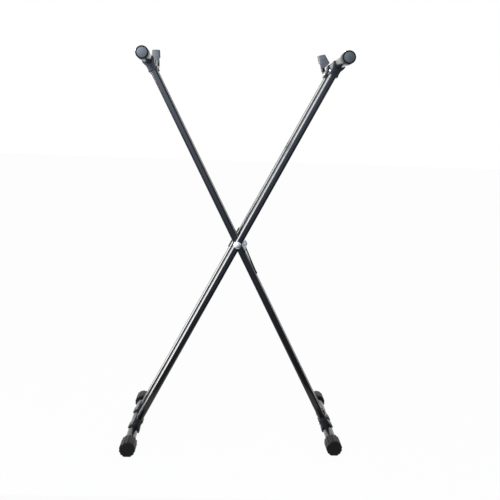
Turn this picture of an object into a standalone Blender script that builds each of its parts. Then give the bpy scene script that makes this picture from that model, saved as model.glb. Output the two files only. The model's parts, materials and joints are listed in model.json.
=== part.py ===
"""Double X keyboard stand: two tube frames crossing on one pivot bolt, in metres, +Z up.

The outer frame leans right at its top and the inner frame leans left. Each has two legs, a base bar with
turning rubber end caps, and an arm with a front cap and a rear stop. A squeeze lever between the inner legs
works the lock. -Y is the player's side, and the origin lies on the floor under the middle of the stand.
"""

import math

import bmesh
import bpy
from mathutils import Matrix, Vector

MM = 0.001
GAP = 0.3 * MM

# Overall sizes
BAR_TO_ARM = 936 * MM
BAR_TO_PIVOT = 485 * MM
LEAN = math.radians(27.46)

# Legs: rounded rectangular steel tube
LEG_WIDTH = 17 * MM
LEG_DEPTH = 24 * MM
LEG_CORNER = 5 * MM
LEG_WALL = 1.5 * MM
INNER_FRONT_LEG_Y = -20 * MM
INNER_REAR_LEG_Y = 34 * MM
FRONT_LEG_GAP = 11 * MM
REAR_LEG_GAP = 3 * MM
OUTER_FRONT_LEG_Y = INNER_FRONT_LEG_Y - LEG_DEPTH - FRONT_LEG_GAP
OUTER_REAR_LEG_Y = INNER_REAR_LEG_Y + LEG_DEPTH + REAR_LEG_GAP

# Round tubes of the base bars and arms
TUBE_RADIUS = 12.7 * MM
TUBE_WALL = 1.5 * MM
TUBE_SIDES = 32
PIN_SIDES = 24

# Ends of the bars and arms along Y, measured from the pivot's zero
BAR_ENDS = {"outer": (-198 * MM, 206 * MM), "inner": (-164 * MM, 240 * MM)}
ARM_ENDS = {"outer": (-218 * MM, 90 * MM), "inner": (-164 * MM, 114 * MM)}

# Ribbed rubber caps on the base bars
FOOT_WALL = 6.5 * MM
FOOT_RADIUS = TUBE_RADIUS + GAP + FOOT_WALL
FOOT_FLAT_CUT = 1.5 * MM
FOOT_FLAT = FOOT_RADIUS - FOOT_FLAT_CUT
FOOT_LENGTH = 50 * MM
FOOT_FACE = 6 * MM
FOOT_CHAMFER = 1.5 * MM
FOOT_RIBS = 14
FOOT_RIB_DEPTH = 1.1 * MM
POINTS_PER_RIB = 4

# Smooth caps on the arms' front ends
ARM_CAP_WALL = 2.3 * MM
ARM_CAP_RADIUS = TUBE_RADIUS + GAP + ARM_CAP_WALL
ARM_CAP_LENGTH = 46 * MM
ARM_CAP_FACE = 4 * MM
ARM_CAP_DOME = 2.2 * MM
ARM_CAP_EDGE = 1.6 * MM
# The dome's outline as shares of its rim and height.
ARM_CAP_CURVE = ((0.35, 0), (0.7, 0.3), (0.93, 0.7), (1, 1))
# The rounded edge's outline as shares of ARM_CAP_EDGE, inward and back from the rim.
ARM_CAP_ROUND = ((0.3, 0.5), (0, 1.5))
ARM_CAP_SCREW_SET = 6.5 * MM
ARM_CAP_SCREW_ANGLES = {"outer": math.radians(34), "inner": math.radians(71)}

# Collars where the legs meet a bar or an arm
COLLAR_SIDE_WALL = 2 * MM
COLLAR_DEPTH = LEG_DEPTH + 2 * COLLAR_SIDE_WALL
COLLAR_HORN = 2.6 * MM
COLLAR_SLEEVE_WALL = 2.5 * MM
COLLAR_SHOULDER = 4 * MM
COLLAR_NECK = TUBE_RADIUS + 6.3 * MM
COLLAR_SLEEVE = 14 * MM
COLLAR_LENGTH = COLLAR_NECK + COLLAR_SLEEVE
COLLAR_LIP = 0.8 * MM
COLLAR_LIP_LENGTH = 4.5 * MM
COLLAR_CHAMFER = 0.7 * MM
COLLAR_SCREW_SET = 5 * MM
COLLAR_SCREW_AT = COLLAR_NECK + COLLAR_SCREW_SET

# Screws
SCREW_RADIUS = 1.8 * MM
SCREW_HEAD_RADIUS = 3.4 * MM
SCREW_HEAD_HEIGHT = 2.2 * MM
# The pan head's outline as shares of its radius and height.
SCREW_HEAD_CURVE = ((1, 0), (1, 0.45), (0.8, 0.85), (0.4, 1))
SCREW_THROUGH = 2 * MM
SCREW_SIDES = 16

# Stops on the arms' rear ends
STOP_ROD_RADIUS = 5.8 * MM
STOP_BEND = 24 * MM
STOP_SET_BACK = 165 * MM
STOP_TOP = 53 * MM
STOP_INSERT = 26 * MM
STOP_TILTS = {"outer": math.radians(-14), "inner": math.radians(-3.5)}
PLUG_FLANGE = 3 * MM
PLUG_LENGTH = 22 * MM
PLUG_CHAMFER = 1 * MM
PADDLE_BOTTOM = 16 * MM
PADDLE_BACK_EDGE = 6.4 * MM
PADDLE_TOP_REACH = 13.4 * MM
PADDLE_CORNER = 3 * MM
PADDLE_FLARES = {"outer": (21 * MM, 28 * MM), "inner": (14.5 * MM, 40 * MM)}
PADDLE_THICKNESS = 5 * MM
PADDLE_LAP = 1.2 * MM
PADDLE_CHAMFER = 0.9 * MM
SOCKET_WALL = 2.2 * MM
SOCKET_HEIGHT = 22 * MM
SOCKET_CHAMFER = 1 * MM

# Pivot
BOLT_RADIUS = 5 * MM
BOLT_FLAT_CUT = 1.1 * MM
BOLT_FLAT = BOLT_RADIUS - BOLT_FLAT_CUT
BOLT_HEAD_RIM = 4.2 * MM
BOLT_HEAD_RADIUS = BOLT_RADIUS + BOLT_HEAD_RIM
BOLT_HEAD_HEIGHT = 4.2 * MM
BOLT_TAIL = 11 * MM
BOLT_CHAMFER = 1 * MM
NUT_WALL = 2.5 * MM
NUT_ACROSS = 2 * (BOLT_RADIUS + NUT_WALL)
NUT_HEIGHT = 7 * MM
NUT_CROWN = 1.2 * MM
NUT_CROWN_INSET = 0.4 * MM
WASHER_RIM = 3.4 * MM
WASHER_RADIUS = BOLT_RADIUS + WASHER_RIM
WASHER_THICKNESS = 1.6 * MM
BUSH_WALL = 1.6 * MM
SPACER_WALL = 2.1 * MM
SPACER_RADIUS = BOLT_RADIUS + GAP + SPACER_WALL
SADDLE_LENGTH = 57 * MM
SADDLE_PLATE = 2 * MM
SADDLE_FLANGE = 14 * MM

# Lock: toothed sector on the bolt, bracket and squeeze lever on the inner legs
SECTOR_RADIUS = 10.5 * MM
SECTOR_HUB_WALL = 1.7 * MM
SECTOR_HUB = BOLT_RADIUS + GAP + SECTOR_HUB_WALL
SECTOR_THICKNESS = 9 * MM
SECTOR_BACK = math.radians(51)
SECTOR_AHEAD = math.radians(57)
TOOTH_STEP = math.radians(15)
TOOTH_DEPTH = 1.7 * MM
NOTCH_SHARE = 0.52
SECTOR_POINTS = 96
BRACKET_PLATE = 2 * MM
BRACKET_LOW = -30 * MM
BRACKET_HIGH = -2 * MM
BRACKET_SCREW_Z = -22 * MM
EAR_LOW = -25 * MM
EAR_TIP_LOW = -15 * MM
EAR_CORNER = 6 * MM
EAR_RELIEF = 0.6 * MM
EAR_INNER_Y = 9 * MM
PIN_FROM_TEETH = 5.5 * MM
LEVER_PIN_X = SECTOR_RADIUS + PIN_FROM_TEETH
EAR_RIM = 6 * MM
EAR_REACH = LEVER_PIN_X + EAR_RIM
LEVER_PIN_Z = -13 * MM
LEVER_PIN_RADIUS = 2 * MM
LEVER_THICKNESS = 3.4 * MM
LEVER_TOP_X = LEVER_PIN_X - 2.4 * MM
LEVER_END_X = LEVER_PIN_X - 6 * MM
LEVER_END_Z = -96 * MM
LEVER_KNEE = 9 * MM
LEVER_FLICK = 0.6 * MM
LEVER_FRONT_Y = -8.7 * MM
LEVER_REAR_Y = 3 * MM
LEVER_EYE = 4.4 * MM
EYE_FROM = math.radians(-40)
EYE_BESIDE_PAWL = math.radians(34)
EYE_STEPS = 8
PAWL_ROOT_SHARE = 0.9
LEVER_SHOULDER = 1 * MM
PIN_HEAD_RIM = 1.3 * MM
PIN_HEAD_HEIGHT = 1.4 * MM
PIN_HEAD_CHAMFER = 0.6 * MM
PIN_TAIL = 2 * MM
PIN_TAIL_CHAMFER = 0.5 * MM
PAWL_CLEARANCE = 0.4 * MM
PAWL_TIP = 1.4 * MM
SPRING_WIRE = 0.4 * MM
SPRING_RADIUS = 3.6 * MM
SPRING_TURNS = 3
SPRING_POINTS = 10

UP = (BAR_TO_ARM - BAR_TO_PIVOT) / math.cos(LEAN)
DOWN = BAR_TO_PIVOT / math.cos(LEAN)
PIVOT_Z = FOOT_FLAT + BAR_TO_PIVOT
SOCKET_RADIUS = STOP_ROD_RADIUS + GAP + SOCKET_WALL
FRONT_REACH = min(ends[0] for ends in (*ARM_ENDS.values(), *BAR_ENDS.values()))
STOP_REACHES = [ends[1] + STOP_SET_BACK + SOCKET_RADIUS for ends in ARM_ENDS.values()]
REAR_REACH = max(*STOP_REACHES, *[ends[1] for ends in BAR_ENDS.values()])
MIDDLE_Y = -(FRONT_REACH + REAR_REACH) / 2
SIDES = {"outer": 1, "inner": -1}
LEG_Y = {"outer": (OUTER_FRONT_LEG_Y, OUTER_REAR_LEG_Y), "inner": (INNER_FRONT_LEG_Y, INNER_REAR_LEG_Y)}
LOCK_Y = (INNER_FRONT_LEG_Y + INNER_REAR_LEG_Y) / 2
NUT_SEAT = OUTER_REAR_LEG_Y + LEG_DEPTH / 2 + GAP + SADDLE_PLATE
PAWL_ANGLE = math.atan2(LEVER_PIN_Z, LEVER_PIN_X)
TOOTH_PHASE = PAWL_ANGLE + 2 * LEAN
SECTOR_FROM = TOOTH_PHASE - SECTOR_BACK
SECTOR_TO = TOOTH_PHASE + SECTOR_AHEAD
TO_Y = Matrix.Rotation(-math.pi / 2, 4, "X")
TO_X = Matrix.Rotation(math.pi / 2, 4, "Y")

MATERIALS = {
    "tube_black": ((0.012, 0.013, 0.016), 0.12, 0.0),
    "collar_plastic": ((0.045, 0.047, 0.052), 0.42, 0.0),
    "foot_rubber": ((0.035, 0.036, 0.037), 0.7, 0.0),
    "cap_plastic": ((0.05, 0.055, 0.062), 0.35, 0.0),
    "paddle_rubber": ((0.075, 0.08, 0.085), 0.6, 0.0),
    "bright_steel": ((0.78, 0.78, 0.77), 0.25, 1.0),
    "black_steel": ((0.03, 0.031, 0.034), 0.35, 0.0),
    "white_nylon": ((0.7, 0.69, 0.66), 0.5, 0.0),
}


def clear_scene():
    for thing in list(bpy.data.objects):
        bpy.data.objects.remove(thing, do_unlink=True)


def material(name):
    found = bpy.data.materials.get(name)
    if found:
        return found
    colour, roughness, metallic = MATERIALS[name]
    made = bpy.data.materials.new(name)
    made.use_nodes = True
    shader = made.node_tree.nodes["Principled BSDF"]
    shader.inputs["Base Color"].default_value = (*colour, 1)
    shader.inputs["Roughness"].default_value = roughness
    shader.inputs["Metallic"].default_value = metallic
    return made


def frame_empty(name, turn):
    empty = bpy.data.objects.new(name, None)
    bpy.context.collection.objects.link(empty)
    empty.location = (0, MIDDLE_Y, PIVOT_Z)
    empty.rotation_euler = (0, turn, 0)
    return empty


def add_object(name, bm, parent, finish, at=(0, 0, 0), turn=0.0):
    """Links the mesh under its frame's empty, at a place and a turn about Y in the frame's own axes."""
    bmesh.ops.recalc_face_normals(bm, faces=bm.faces)
    mesh = bpy.data.meshes.new(name)
    bm.to_mesh(mesh)
    bm.free()
    mesh.shade_smooth()
    mesh.set_sharp_from_angle(angle=math.radians(32))
    mesh.materials.append(material(finish))
    thing = bpy.data.objects.new(name, mesh)
    bpy.context.collection.objects.link(thing)
    thing.parent = parent
    thing.location = at
    thing.rotation_euler = (0, turn, 0)
    return thing


def make_cutter(name, bm, parent, at=(0, 0, 0), turn=0.0):
    cutter = add_object(name, bm, parent, "black_steel", at, turn)
    cutter.hide_render = True
    cutter.display_type = "WIRE"
    return cutter


def cut(thing, cutter):
    boolean = thing.modifiers.new("cut_" + cutter.name, "BOOLEAN")
    boolean.operation = "DIFFERENCE"
    boolean.solver = "EXACT"
    boolean.object = cutter


def chamfer(thing, width):
    bevel = thing.modifiers.new("chamfer", "BEVEL")
    bevel.width = width
    bevel.segments = 1
    bevel.limit_method = "ANGLE"
    bevel.angle_limit = math.radians(50)


def circle(radius, sides):
    """Outline with a flat facet, not a corner, at each axis."""
    angles = [2 * math.pi * (i + 0.5) / sides for i in range(sides)]
    return [(radius * math.cos(angle), radius * math.sin(angle)) for angle in angles]


def rounded_rectangle(width, depth, radius, steps=3):
    outline = []
    for quarter in range(4):
        right = 1 if quarter in (0, 3) else -1
        up = 1 if quarter in (0, 1) else -1
        for step in range(steps + 1):
            angle = math.pi / 2 * (quarter + step / steps)
            outline.append(
                (
                    right * (width / 2 - radius) + radius * math.cos(angle),
                    up * (depth / 2 - radius) + radius * math.sin(angle),
                )
            )
    return outline


def square_on_circle(half, sides):
    """Square outline with as many points as a circle, for a neck between round stretches."""
    outline = []
    for x, y in circle(1, sides):
        reach = half / max(abs(x), abs(y))
        outline.append((x * reach, y * reach))
    return outline


def lathe_outlines(profile, sides):
    """Stations for a turned shape: (radius, height) pairs become circles."""
    return [(height, circle(radius, sides)) for radius, height in profile]


def stacked(stations, ring=False, turn=Matrix.Identity(4)):
    """Joins outlines at their heights along Z into one closed shell, closed on itself when ring is set."""
    bm = bmesh.new()
    loops = [[bm.verts.new((x, y, height)) for x, y in outline] for height, outline in stations]
    pairs = list(zip(loops, loops[1:]))
    if ring:
        pairs.append((loops[-1], loops[0]))
    else:
        bm.faces.new(loops[0])
        bm.faces.new(loops[-1])
    for low, high in pairs:
        count = len(low)
        for i in range(count):
            bm.faces.new((low[i], low[(i + 1) % count], high[(i + 1) % count], high[i]))
    bmesh.ops.transform(bm, matrix=turn, verts=bm.verts)
    return bm


def extruded(outline, low, high):
    """Outline in X and Z, extruded along Y."""
    bm = bmesh.new()
    face = bm.faces.new([bm.verts.new((x, low, z)) for x, z in outline])
    grown = bmesh.ops.extrude_face_region(bm, geom=[face])
    moved = [item for item in grown["geom"] if isinstance(item, bmesh.types.BMVert)]
    bmesh.ops.translate(bm, vec=(0, high - low, 0), verts=moved)
    return bm


def box(x, y, z):
    """Box from three (low, high) pairs."""
    bm = bmesh.new()
    bmesh.ops.create_cube(bm, size=1)
    size = Matrix.Diagonal((x[1] - x[0], y[1] - y[0], z[1] - z[0], 1))
    place = Matrix.Translation(((x[0] + x[1]) / 2, (y[0] + y[1]) / 2, (z[0] + z[1]) / 2))
    bmesh.ops.transform(bm, matrix=place @ size, verts=bm.verts)
    return bm


def bar_cutter(name, parent, z, radius, reach):
    bm = stacked([(-reach, circle(radius, TUBE_SIDES)), (reach, circle(radius, TUBE_SIDES))], turn=TO_Y)
    return make_cutter(name, bm, parent, (0, 0, z))


def leg_end_cutters(frame, parent):
    """Bar and arm cylinders that cope the legs and collars, and leg-shaped pins that open the collars."""
    reach = max(-OUTER_FRONT_LEG_Y, OUTER_REAR_LEG_Y) + COLLAR_DEPTH
    radius = TUBE_RADIUS + GAP
    cutters = {
        "top": bar_cutter(frame + "_arm_cutter", parent, UP, radius, reach),
        "base": bar_cutter(frame + "_bar_cutter", parent, -DOWN, radius, reach),
    }
    outline = rounded_rectangle(LEG_WIDTH + 2 * GAP, LEG_DEPTH + 2 * GAP, LEG_CORNER + GAP)
    for place, y in zip(("front", "rear"), LEG_Y[frame]):
        name = f"{frame}_{place}_leg_cutter"
        cutters[place] = make_cutter(name, stacked([(-DOWN, outline), (UP, outline)]), parent, (0, y, 0))
    return cutters


def screw_side(frame, end):
    """Side of the leg that its screws face: upwards at the arms, downwards at the bars."""
    return -SIDES[frame] if end == "top" else SIDES[frame]


def screw_height(end):
    return UP - COLLAR_SCREW_AT if end == "top" else -DOWN + COLLAR_SCREW_AT


def hole_across_leg(frame, parent, end):
    side = screw_side(frame, end)
    sides = circle(SCREW_RADIUS + GAP, SCREW_SIDES)
    bm = stacked([(0, sides), (side * LEG_WIDTH, sides)], turn=TO_X)
    cutters = []
    for place, y in zip(("front", "rear"), LEG_Y[frame]):
        name = f"{frame}_{end}_{place}_hole_cutter"
        cutters.append(make_cutter(name, bm.copy(), parent, (0, y, screw_height(end))))
    bm.free()
    return cutters


def pivot_hole_radius(frame):
    clearance = BOLT_RADIUS + GAP
    return clearance if frame == "outer" else clearance + BUSH_WALL + GAP


def build_legs(frame, parent, cutters, holes):
    outer = rounded_rectangle(LEG_WIDTH, LEG_DEPTH, LEG_CORNER)
    inner = rounded_rectangle(LEG_WIDTH - 2 * LEG_WALL, LEG_DEPTH - 2 * LEG_WALL, LEG_CORNER - LEG_WALL)
    hole = circle(pivot_hole_radius(frame), PIN_SIDES)
    for index, (place, y) in enumerate(zip(("front", "rear"), LEG_Y[frame])):
        stations = [(-DOWN, outer), (UP, outer), (UP, inner), (-DOWN, inner)]
        bm = stacked(stations, ring=True)
        leg = add_object(f"{frame}_{place}_leg", bm, parent, "tube_black", (0, y, 0))
        pin = stacked([(-LEG_DEPTH, hole), (LEG_DEPTH, hole)], turn=TO_Y)
        pin_cutter = make_cutter(f"{frame}_{place}_pivot_cutter", pin, parent, (0, y, 0))
        if frame == "outer" and place == "front":
            neck = square_on_circle(BOLT_RADIUS + GAP, PIN_SIDES)
            square = stacked([(-LEG_DEPTH, neck), (-LEG_DEPTH / 2 + 2 * LEG_WALL, neck)], turn=TO_Y)
            cut(leg, make_cutter("outer_front_neck_cutter", square, parent, (0, y, 0)))
        screw_holes = [holes[end][index] for end in ("top", "base")]
        for cutter in (cutters["top"], cutters["base"], pin_cutter, *screw_holes):
            cut(leg, cutter)


def collar_outline():
    """Half the collar's side, from horn to lip, as (half width, distance from the bar's axis)."""
    horn = TUBE_RADIUS + GAP + COLLAR_HORN
    sleeve = LEG_WIDTH / 2 + COLLAR_SLEEVE_WALL
    half = [(horn, 0), (horn, COLLAR_SHOULDER)]
    steps = 4
    for step in range(1, steps):
        share = step / steps
        ease = share * share * (3 - 2 * share)
        along = COLLAR_SHOULDER + (COLLAR_NECK - COLLAR_SHOULDER) * share
        half.append((horn + (sleeve - horn) * ease, along))
    half += [
        (sleeve, COLLAR_NECK),
        (sleeve, COLLAR_LENGTH - COLLAR_LIP_LENGTH),
        (sleeve + COLLAR_LIP, COLLAR_LENGTH - COLLAR_LIP_LENGTH),
        (sleeve + COLLAR_LIP, COLLAR_LENGTH),
    ]
    return half


def build_collars(frame, parent, cutters, holes):
    half = collar_outline()
    for end, z, down in (("top", UP, -1), ("base", -DOWN, 1)):
        outline = [(x, down * s) for x, s in half] + [(-x, down * s) for x, s in reversed(half)]
        for index, (place, y) in enumerate(zip(("front", "rear"), LEG_Y[frame])):
            bm = extruded(outline, -COLLAR_DEPTH / 2, COLLAR_DEPTH / 2)
            collar = add_object(f"{frame}_{end}_{place}_collar", bm, parent, "collar_plastic", (0, y, z))
            chamfer(collar, COLLAR_CHAMFER)
            for cutter in (cutters[end], cutters[place], holes[end][index]):
                cut(collar, cutter)


def screw_profile(length):
    """Pan head above height 0, shank below it."""
    head = [(SCREW_HEAD_RADIUS * across, SCREW_HEAD_HEIGHT * up) for across, up in SCREW_HEAD_CURVE]
    return [(SCREW_RADIUS, -length), (SCREW_RADIUS, 0), *head]


def screw(length, turn):
    return stacked(lathe_outlines(screw_profile(length), SCREW_SIDES), turn=turn)


def build_collar_screws(frame, parent):
    length = COLLAR_SLEEVE_WALL + LEG_WALL + SCREW_THROUGH
    for end in ("top", "base"):
        side = screw_side(frame, end)
        x = side * (LEG_WIDTH / 2 + COLLAR_SLEEVE_WALL + GAP)
        for place, y in zip(("front", "rear"), LEG_Y[frame]):
            turn = Matrix.Rotation(side * math.pi / 2, 4, "Y")
            name = f"{frame}_{end}_{place}_screw"
            add_object(name, screw(length, turn), parent, "bright_steel", (x, y, screw_height(end)))


def round_tube(name, parent, low, high, z, turn):
    outer = circle(TUBE_RADIUS, TUBE_SIDES)
    inner = circle(TUBE_RADIUS - TUBE_WALL, TUBE_SIDES)
    bm = stacked([(low, outer), (high, outer), (high, inner), (low, inner)], ring=True, turn=TO_Y)
    return add_object(name, bm, parent, "tube_black", (0, 0, z), turn)


def foot_outline(radius):
    """Ribbed round outline in X and Z, cut flat where it stands on the floor."""
    count = FOOT_RIBS * POINTS_PER_RIB
    flat = FOOT_FLAT - (FOOT_RADIUS - radius)
    outline = []
    for i in range(count):
        angle = 2 * math.pi * i / count
        rib = radius - FOOT_RIB_DEPTH * (0.5 - 0.5 * math.cos(FOOT_RIBS * angle))
        outline.append((rib * math.sin(angle), max(-flat, -rib * math.cos(angle))))
    return outline


def build_foot(frame, place, parent, end, inward, z, turn):
    """Cup-shaped cap: outer stations from the face to the mouth, then the bore back to its floor."""
    count = FOOT_RIBS * POINTS_PER_RIB
    wall = TUBE_RADIUS + GAP
    angles = [2 * math.pi * i / count for i in range(count)]
    bore = [(wall * math.sin(angle), -wall * math.cos(angle)) for angle in angles]
    small = foot_outline(FOOT_RADIUS - FOOT_CHAMFER)
    full = foot_outline(FOOT_RADIUS)
    stations = [(0, small), (FOOT_CHAMFER, full), (FOOT_LENGTH, full)]
    stations += [(FOOT_LENGTH, bore), (FOOT_FACE, bore)]
    rings = [(inward * height, outline) for height, outline in stations]
    bm = bmesh.new()
    loops = [[bm.verts.new((x, height, upward)) for x, upward in outline] for height, outline in rings]
    bm.faces.new(loops[0])
    bm.faces.new(loops[-1])
    for low, high in zip(loops, loops[1:]):
        for i in range(count):
            bm.faces.new((low[i], low[(i + 1) % count], high[(i + 1) % count], high[i]))
    return add_object(f"{frame}_{place}_foot_cap", bm, parent, "foot_rubber", (0, end, z), turn)


def build_bar(frame, parent):
    front, rear = BAR_ENDS[frame]
    upright = -SIDES[frame] * LEAN
    inset = FOOT_FACE + GAP
    round_tube(frame + "_base_bar", parent, front + inset, rear - inset, -DOWN, upright)
    build_foot(frame, "front", parent, front, 1, -DOWN, upright)
    build_foot(frame, "rear", parent, rear, -1, -DOWN, upright)


def arm_cap_mesh():
    bore = TUBE_RADIUS + GAP
    rim = ARM_CAP_RADIUS - ARM_CAP_EDGE
    profile = [(rim * across, ARM_CAP_DOME * back) for across, back in ARM_CAP_CURVE]
    for inward, back in ARM_CAP_ROUND:
        profile.append((ARM_CAP_RADIUS - inward * ARM_CAP_EDGE, ARM_CAP_DOME + back * ARM_CAP_EDGE))
    profile += [
        (ARM_CAP_RADIUS, ARM_CAP_LENGTH),
        (bore, ARM_CAP_LENGTH),
        (bore, ARM_CAP_DOME + ARM_CAP_FACE),
    ]
    return stacked(lathe_outlines(profile, TUBE_SIDES), turn=TO_Y)


def build_arm(frame, parent):
    front, rear = ARM_ENDS[frame]
    upright = -SIDES[frame] * LEAN
    start = front + ARM_CAP_DOME + ARM_CAP_FACE + GAP
    tube = round_tube(frame + "_arm", parent, start, rear, UP, upright)
    cap = add_object(frame + "_arm_cap", arm_cap_mesh(), parent, "cap_plastic", (0, front, UP), upright)
    angle = upright - ARM_CAP_SCREW_ANGLES[frame]
    hole = circle(SCREW_RADIUS + GAP, SCREW_SIDES)
    set_back = front + ARM_CAP_SCREW_SET + ARM_CAP_DOME
    drill = stacked([(0, hole), (2 * ARM_CAP_RADIUS, hole)])
    drill_cutter = make_cutter(frame + "_cap_screw_cutter", drill, parent, (0, set_back, UP), angle)
    cut(tube, drill_cutter)
    cut(cap, drill_cutter)
    length = ARM_CAP_RADIUS - TUBE_RADIUS + TUBE_WALL + SCREW_THROUGH
    bm = screw(length, Matrix.Identity(4))
    bmesh.ops.translate(bm, vec=(0, 0, ARM_CAP_RADIUS + GAP), verts=bm.verts)
    add_object(frame + "_arm_cap_screw", bm, parent, "bright_steel", (0, set_back, UP), angle)


def build_plug(frame, parent, upright):
    """Plastic plug in the arm's rear end, bored for the stop's rod."""
    flange = TUBE_RADIUS
    body = TUBE_RADIUS - TUBE_WALL - GAP
    bore = STOP_ROD_RADIUS + GAP
    rear = ARM_ENDS[frame][1]
    low = rear - PLUG_LENGTH
    seat = rear + GAP
    profile = [
        (body, low),
        (body, seat),
        (flange, seat),
        (flange, seat + PLUG_FLANGE * 0.5),
        (flange - PLUG_CHAMFER, seat + PLUG_FLANGE),
        (bore, seat + PLUG_FLANGE),
        (bore, low),
    ]
    bm = stacked(lathe_outlines(profile, TUBE_SIDES), ring=True, turn=TO_Y)
    add_object(frame + "_arm_plug", bm, parent, "cap_plastic", (0, 0, UP), upright)


def stop_path(rear):
    """Rod's centre line in Y and Z: along the arm, a quarter bend, and up into the paddle's socket."""
    bend_start = rear + STOP_SET_BACK - STOP_BEND
    points = [(rear - STOP_INSERT, 0), (bend_start, 0)]
    steps = 8
    for step in range(1, steps + 1):
        angle = math.pi / 2 * step / steps
        points.append((bend_start + STOP_BEND * math.sin(angle), STOP_BEND * (1 - math.cos(angle))))
    points.append((rear + STOP_SET_BACK, STOP_TOP - SOCKET_WALL - GAP))
    return points


def build_stop_rod(frame, parent, tilt):
    curve = bpy.data.curves.new(frame + "_stop_rod", "CURVE")
    curve.dimensions = "3D"
    spline = curve.splines.new("POLY")
    path = stop_path(ARM_ENDS[frame][1])
    spline.points.add(len(path) - 1)
    for point, (y, z) in zip(spline.points, path):
        point.co = (0, y, z, 1)
    curve.bevel_depth = STOP_ROD_RADIUS
    curve.bevel_resolution = 3
    curve.use_fill_caps = True
    curve.materials.append(material("tube_black"))
    rod = bpy.data.objects.new(frame + "_stop_rod", curve)
    bpy.context.collection.objects.link(rod)
    rod.parent = parent
    rod.location = (0, 0, UP)
    rod.rotation_euler = (0, tilt, 0)


def paddle_outline(frame):
    """Pad's face in X and Z: straight beside the rod, flared away from the stand's middle below its top."""
    side = SIDES[frame]
    reach, height = PADDLE_FLARES[frame]
    corner = PADDLE_CORNER
    outline = [(-PADDLE_BACK_EDGE, PADDLE_BOTTOM), (reach * 0.35, PADDLE_BOTTOM + 2 * MM)]
    outline += [(reach - 1 * MM, height - 1.5 * MM), (reach, height)]
    steps = 3
    for middle, first in ((PADDLE_TOP_REACH - corner, 0), (corner - PADDLE_BACK_EDGE, math.pi / 2)):
        for step in range(steps + 1):
            angle = first + math.pi / 2 * step / steps
            height = STOP_TOP - corner + corner * math.sin(angle)
            outline.append((middle + corner * math.cos(angle), height))
    return [(side * x, z) for x, z in outline]


def build_paddle(frame, parent, tilt):
    """Flat pad in front of the rod's top, with a socket behind it that takes the rod."""
    stem = ARM_ENDS[frame][1] + STOP_SET_BACK
    pad_back = stem - SOCKET_RADIUS + PADDLE_LAP
    bm = extruded(paddle_outline(frame), pad_back - PADDLE_THICKNESS, pad_back)
    paddle = add_object(frame + "_stop_paddle", bm, parent, "paddle_rubber", (0, 0, UP), tilt)
    chamfer(paddle, PADDLE_CHAMFER)
    low = STOP_TOP - SOCKET_HEIGHT
    block = stacked(
        [
            (low, circle(SOCKET_RADIUS, PIN_SIDES)),
            (STOP_TOP - SOCKET_CHAMFER, circle(SOCKET_RADIUS, PIN_SIDES)),
            (STOP_TOP, circle(SOCKET_RADIUS - SOCKET_CHAMFER, PIN_SIDES)),
        ]
    )
    boss = make_cutter(frame + "_socket_guide", block, parent, (0, 0, UP), tilt)
    for vertex in boss.data.vertices:
        vertex.co.y += stem
    join = paddle.modifiers.new("join_socket", "BOOLEAN")
    join.operation = "UNION"
    join.solver = "EXACT"
    join.object = boss
    hole = circle(STOP_ROD_RADIUS + GAP, PIN_SIDES)
    bore = stacked([(0, hole), (STOP_TOP - SOCKET_WALL, hole)])
    drill = make_cutter(frame + "_socket_cutter", bore, parent, (0, 0, UP), tilt)
    for vertex in drill.data.vertices:
        vertex.co.y += stem
    cut(paddle, drill)


def build_stop(frame, parent):
    upright = -SIDES[frame] * LEAN
    tilt = upright + STOP_TILTS[frame]
    build_plug(frame, parent, upright)
    build_stop_rod(frame, parent, tilt)
    build_paddle(frame, parent, tilt)


def build_frame(frame, parent):
    cutters = leg_end_cutters(frame, parent)
    holes = {end: hole_across_leg(frame, parent, end) for end in ("top", "base")}
    build_legs(frame, parent, cutters, holes)
    build_collars(frame, parent, cutters, holes)
    build_collar_screws(frame, parent)
    build_bar(frame, parent)
    build_arm(frame, parent)
    build_stop(frame, parent)


def flatted(radius, flat):
    """Circle with one side cut flat, for the keyed stretch of the bolt."""
    return [(min(x, flat), y) for x, y in circle(radius, PIN_SIDES)]


def build_bolt(parent):
    front = OUTER_FRONT_LEG_Y - LEG_DEPTH / 2 - GAP
    rear = NUT_SEAT + WASHER_THICKNESS + BOLT_TAIL
    neck_end = front + LEG_WALL + GAP
    key = INNER_FRONT_LEG_Y + LEG_DEPTH / 2
    shank = circle(BOLT_RADIUS, PIN_SIDES)
    keyed = flatted(BOLT_RADIUS, BOLT_FLAT)
    neck = square_on_circle(BOLT_RADIUS, PIN_SIDES)
    stations = [
        (front - BOLT_HEAD_HEIGHT, circle(BOLT_HEAD_RADIUS * 0.3, PIN_SIDES)),
        (front - BOLT_HEAD_HEIGHT * 0.88, circle(BOLT_HEAD_RADIUS * 0.6, PIN_SIDES)),
        (front - BOLT_HEAD_HEIGHT * 0.55, circle(BOLT_HEAD_RADIUS * 0.88, PIN_SIDES)),
        (front - BOLT_HEAD_HEIGHT * 0.15, circle(BOLT_HEAD_RADIUS, PIN_SIDES)),
        (front, circle(BOLT_HEAD_RADIUS, PIN_SIDES)),
        (front, neck),
        (neck_end, neck),
        (neck_end, shank),
        (key, shank),
        (key, keyed),
        (rear - BOLT_CHAMFER, keyed),
        (rear, flatted(BOLT_RADIUS - BOLT_CHAMFER, BOLT_FLAT)),
    ]
    add_object("pivot_bolt", stacked(stations, turn=TO_Y), parent, "bright_steel")


def washer(name, parent, finish, low, high, radius, bore, at=(0, 0, 0)):
    outer = circle(radius, PIN_SIDES)
    inner = circle(bore, PIN_SIDES)
    bm = stacked([(low, outer), (high, outer), (high, inner), (low, inner)], ring=True, turn=TO_Y)
    return add_object(name, bm, parent, finish, at)


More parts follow.
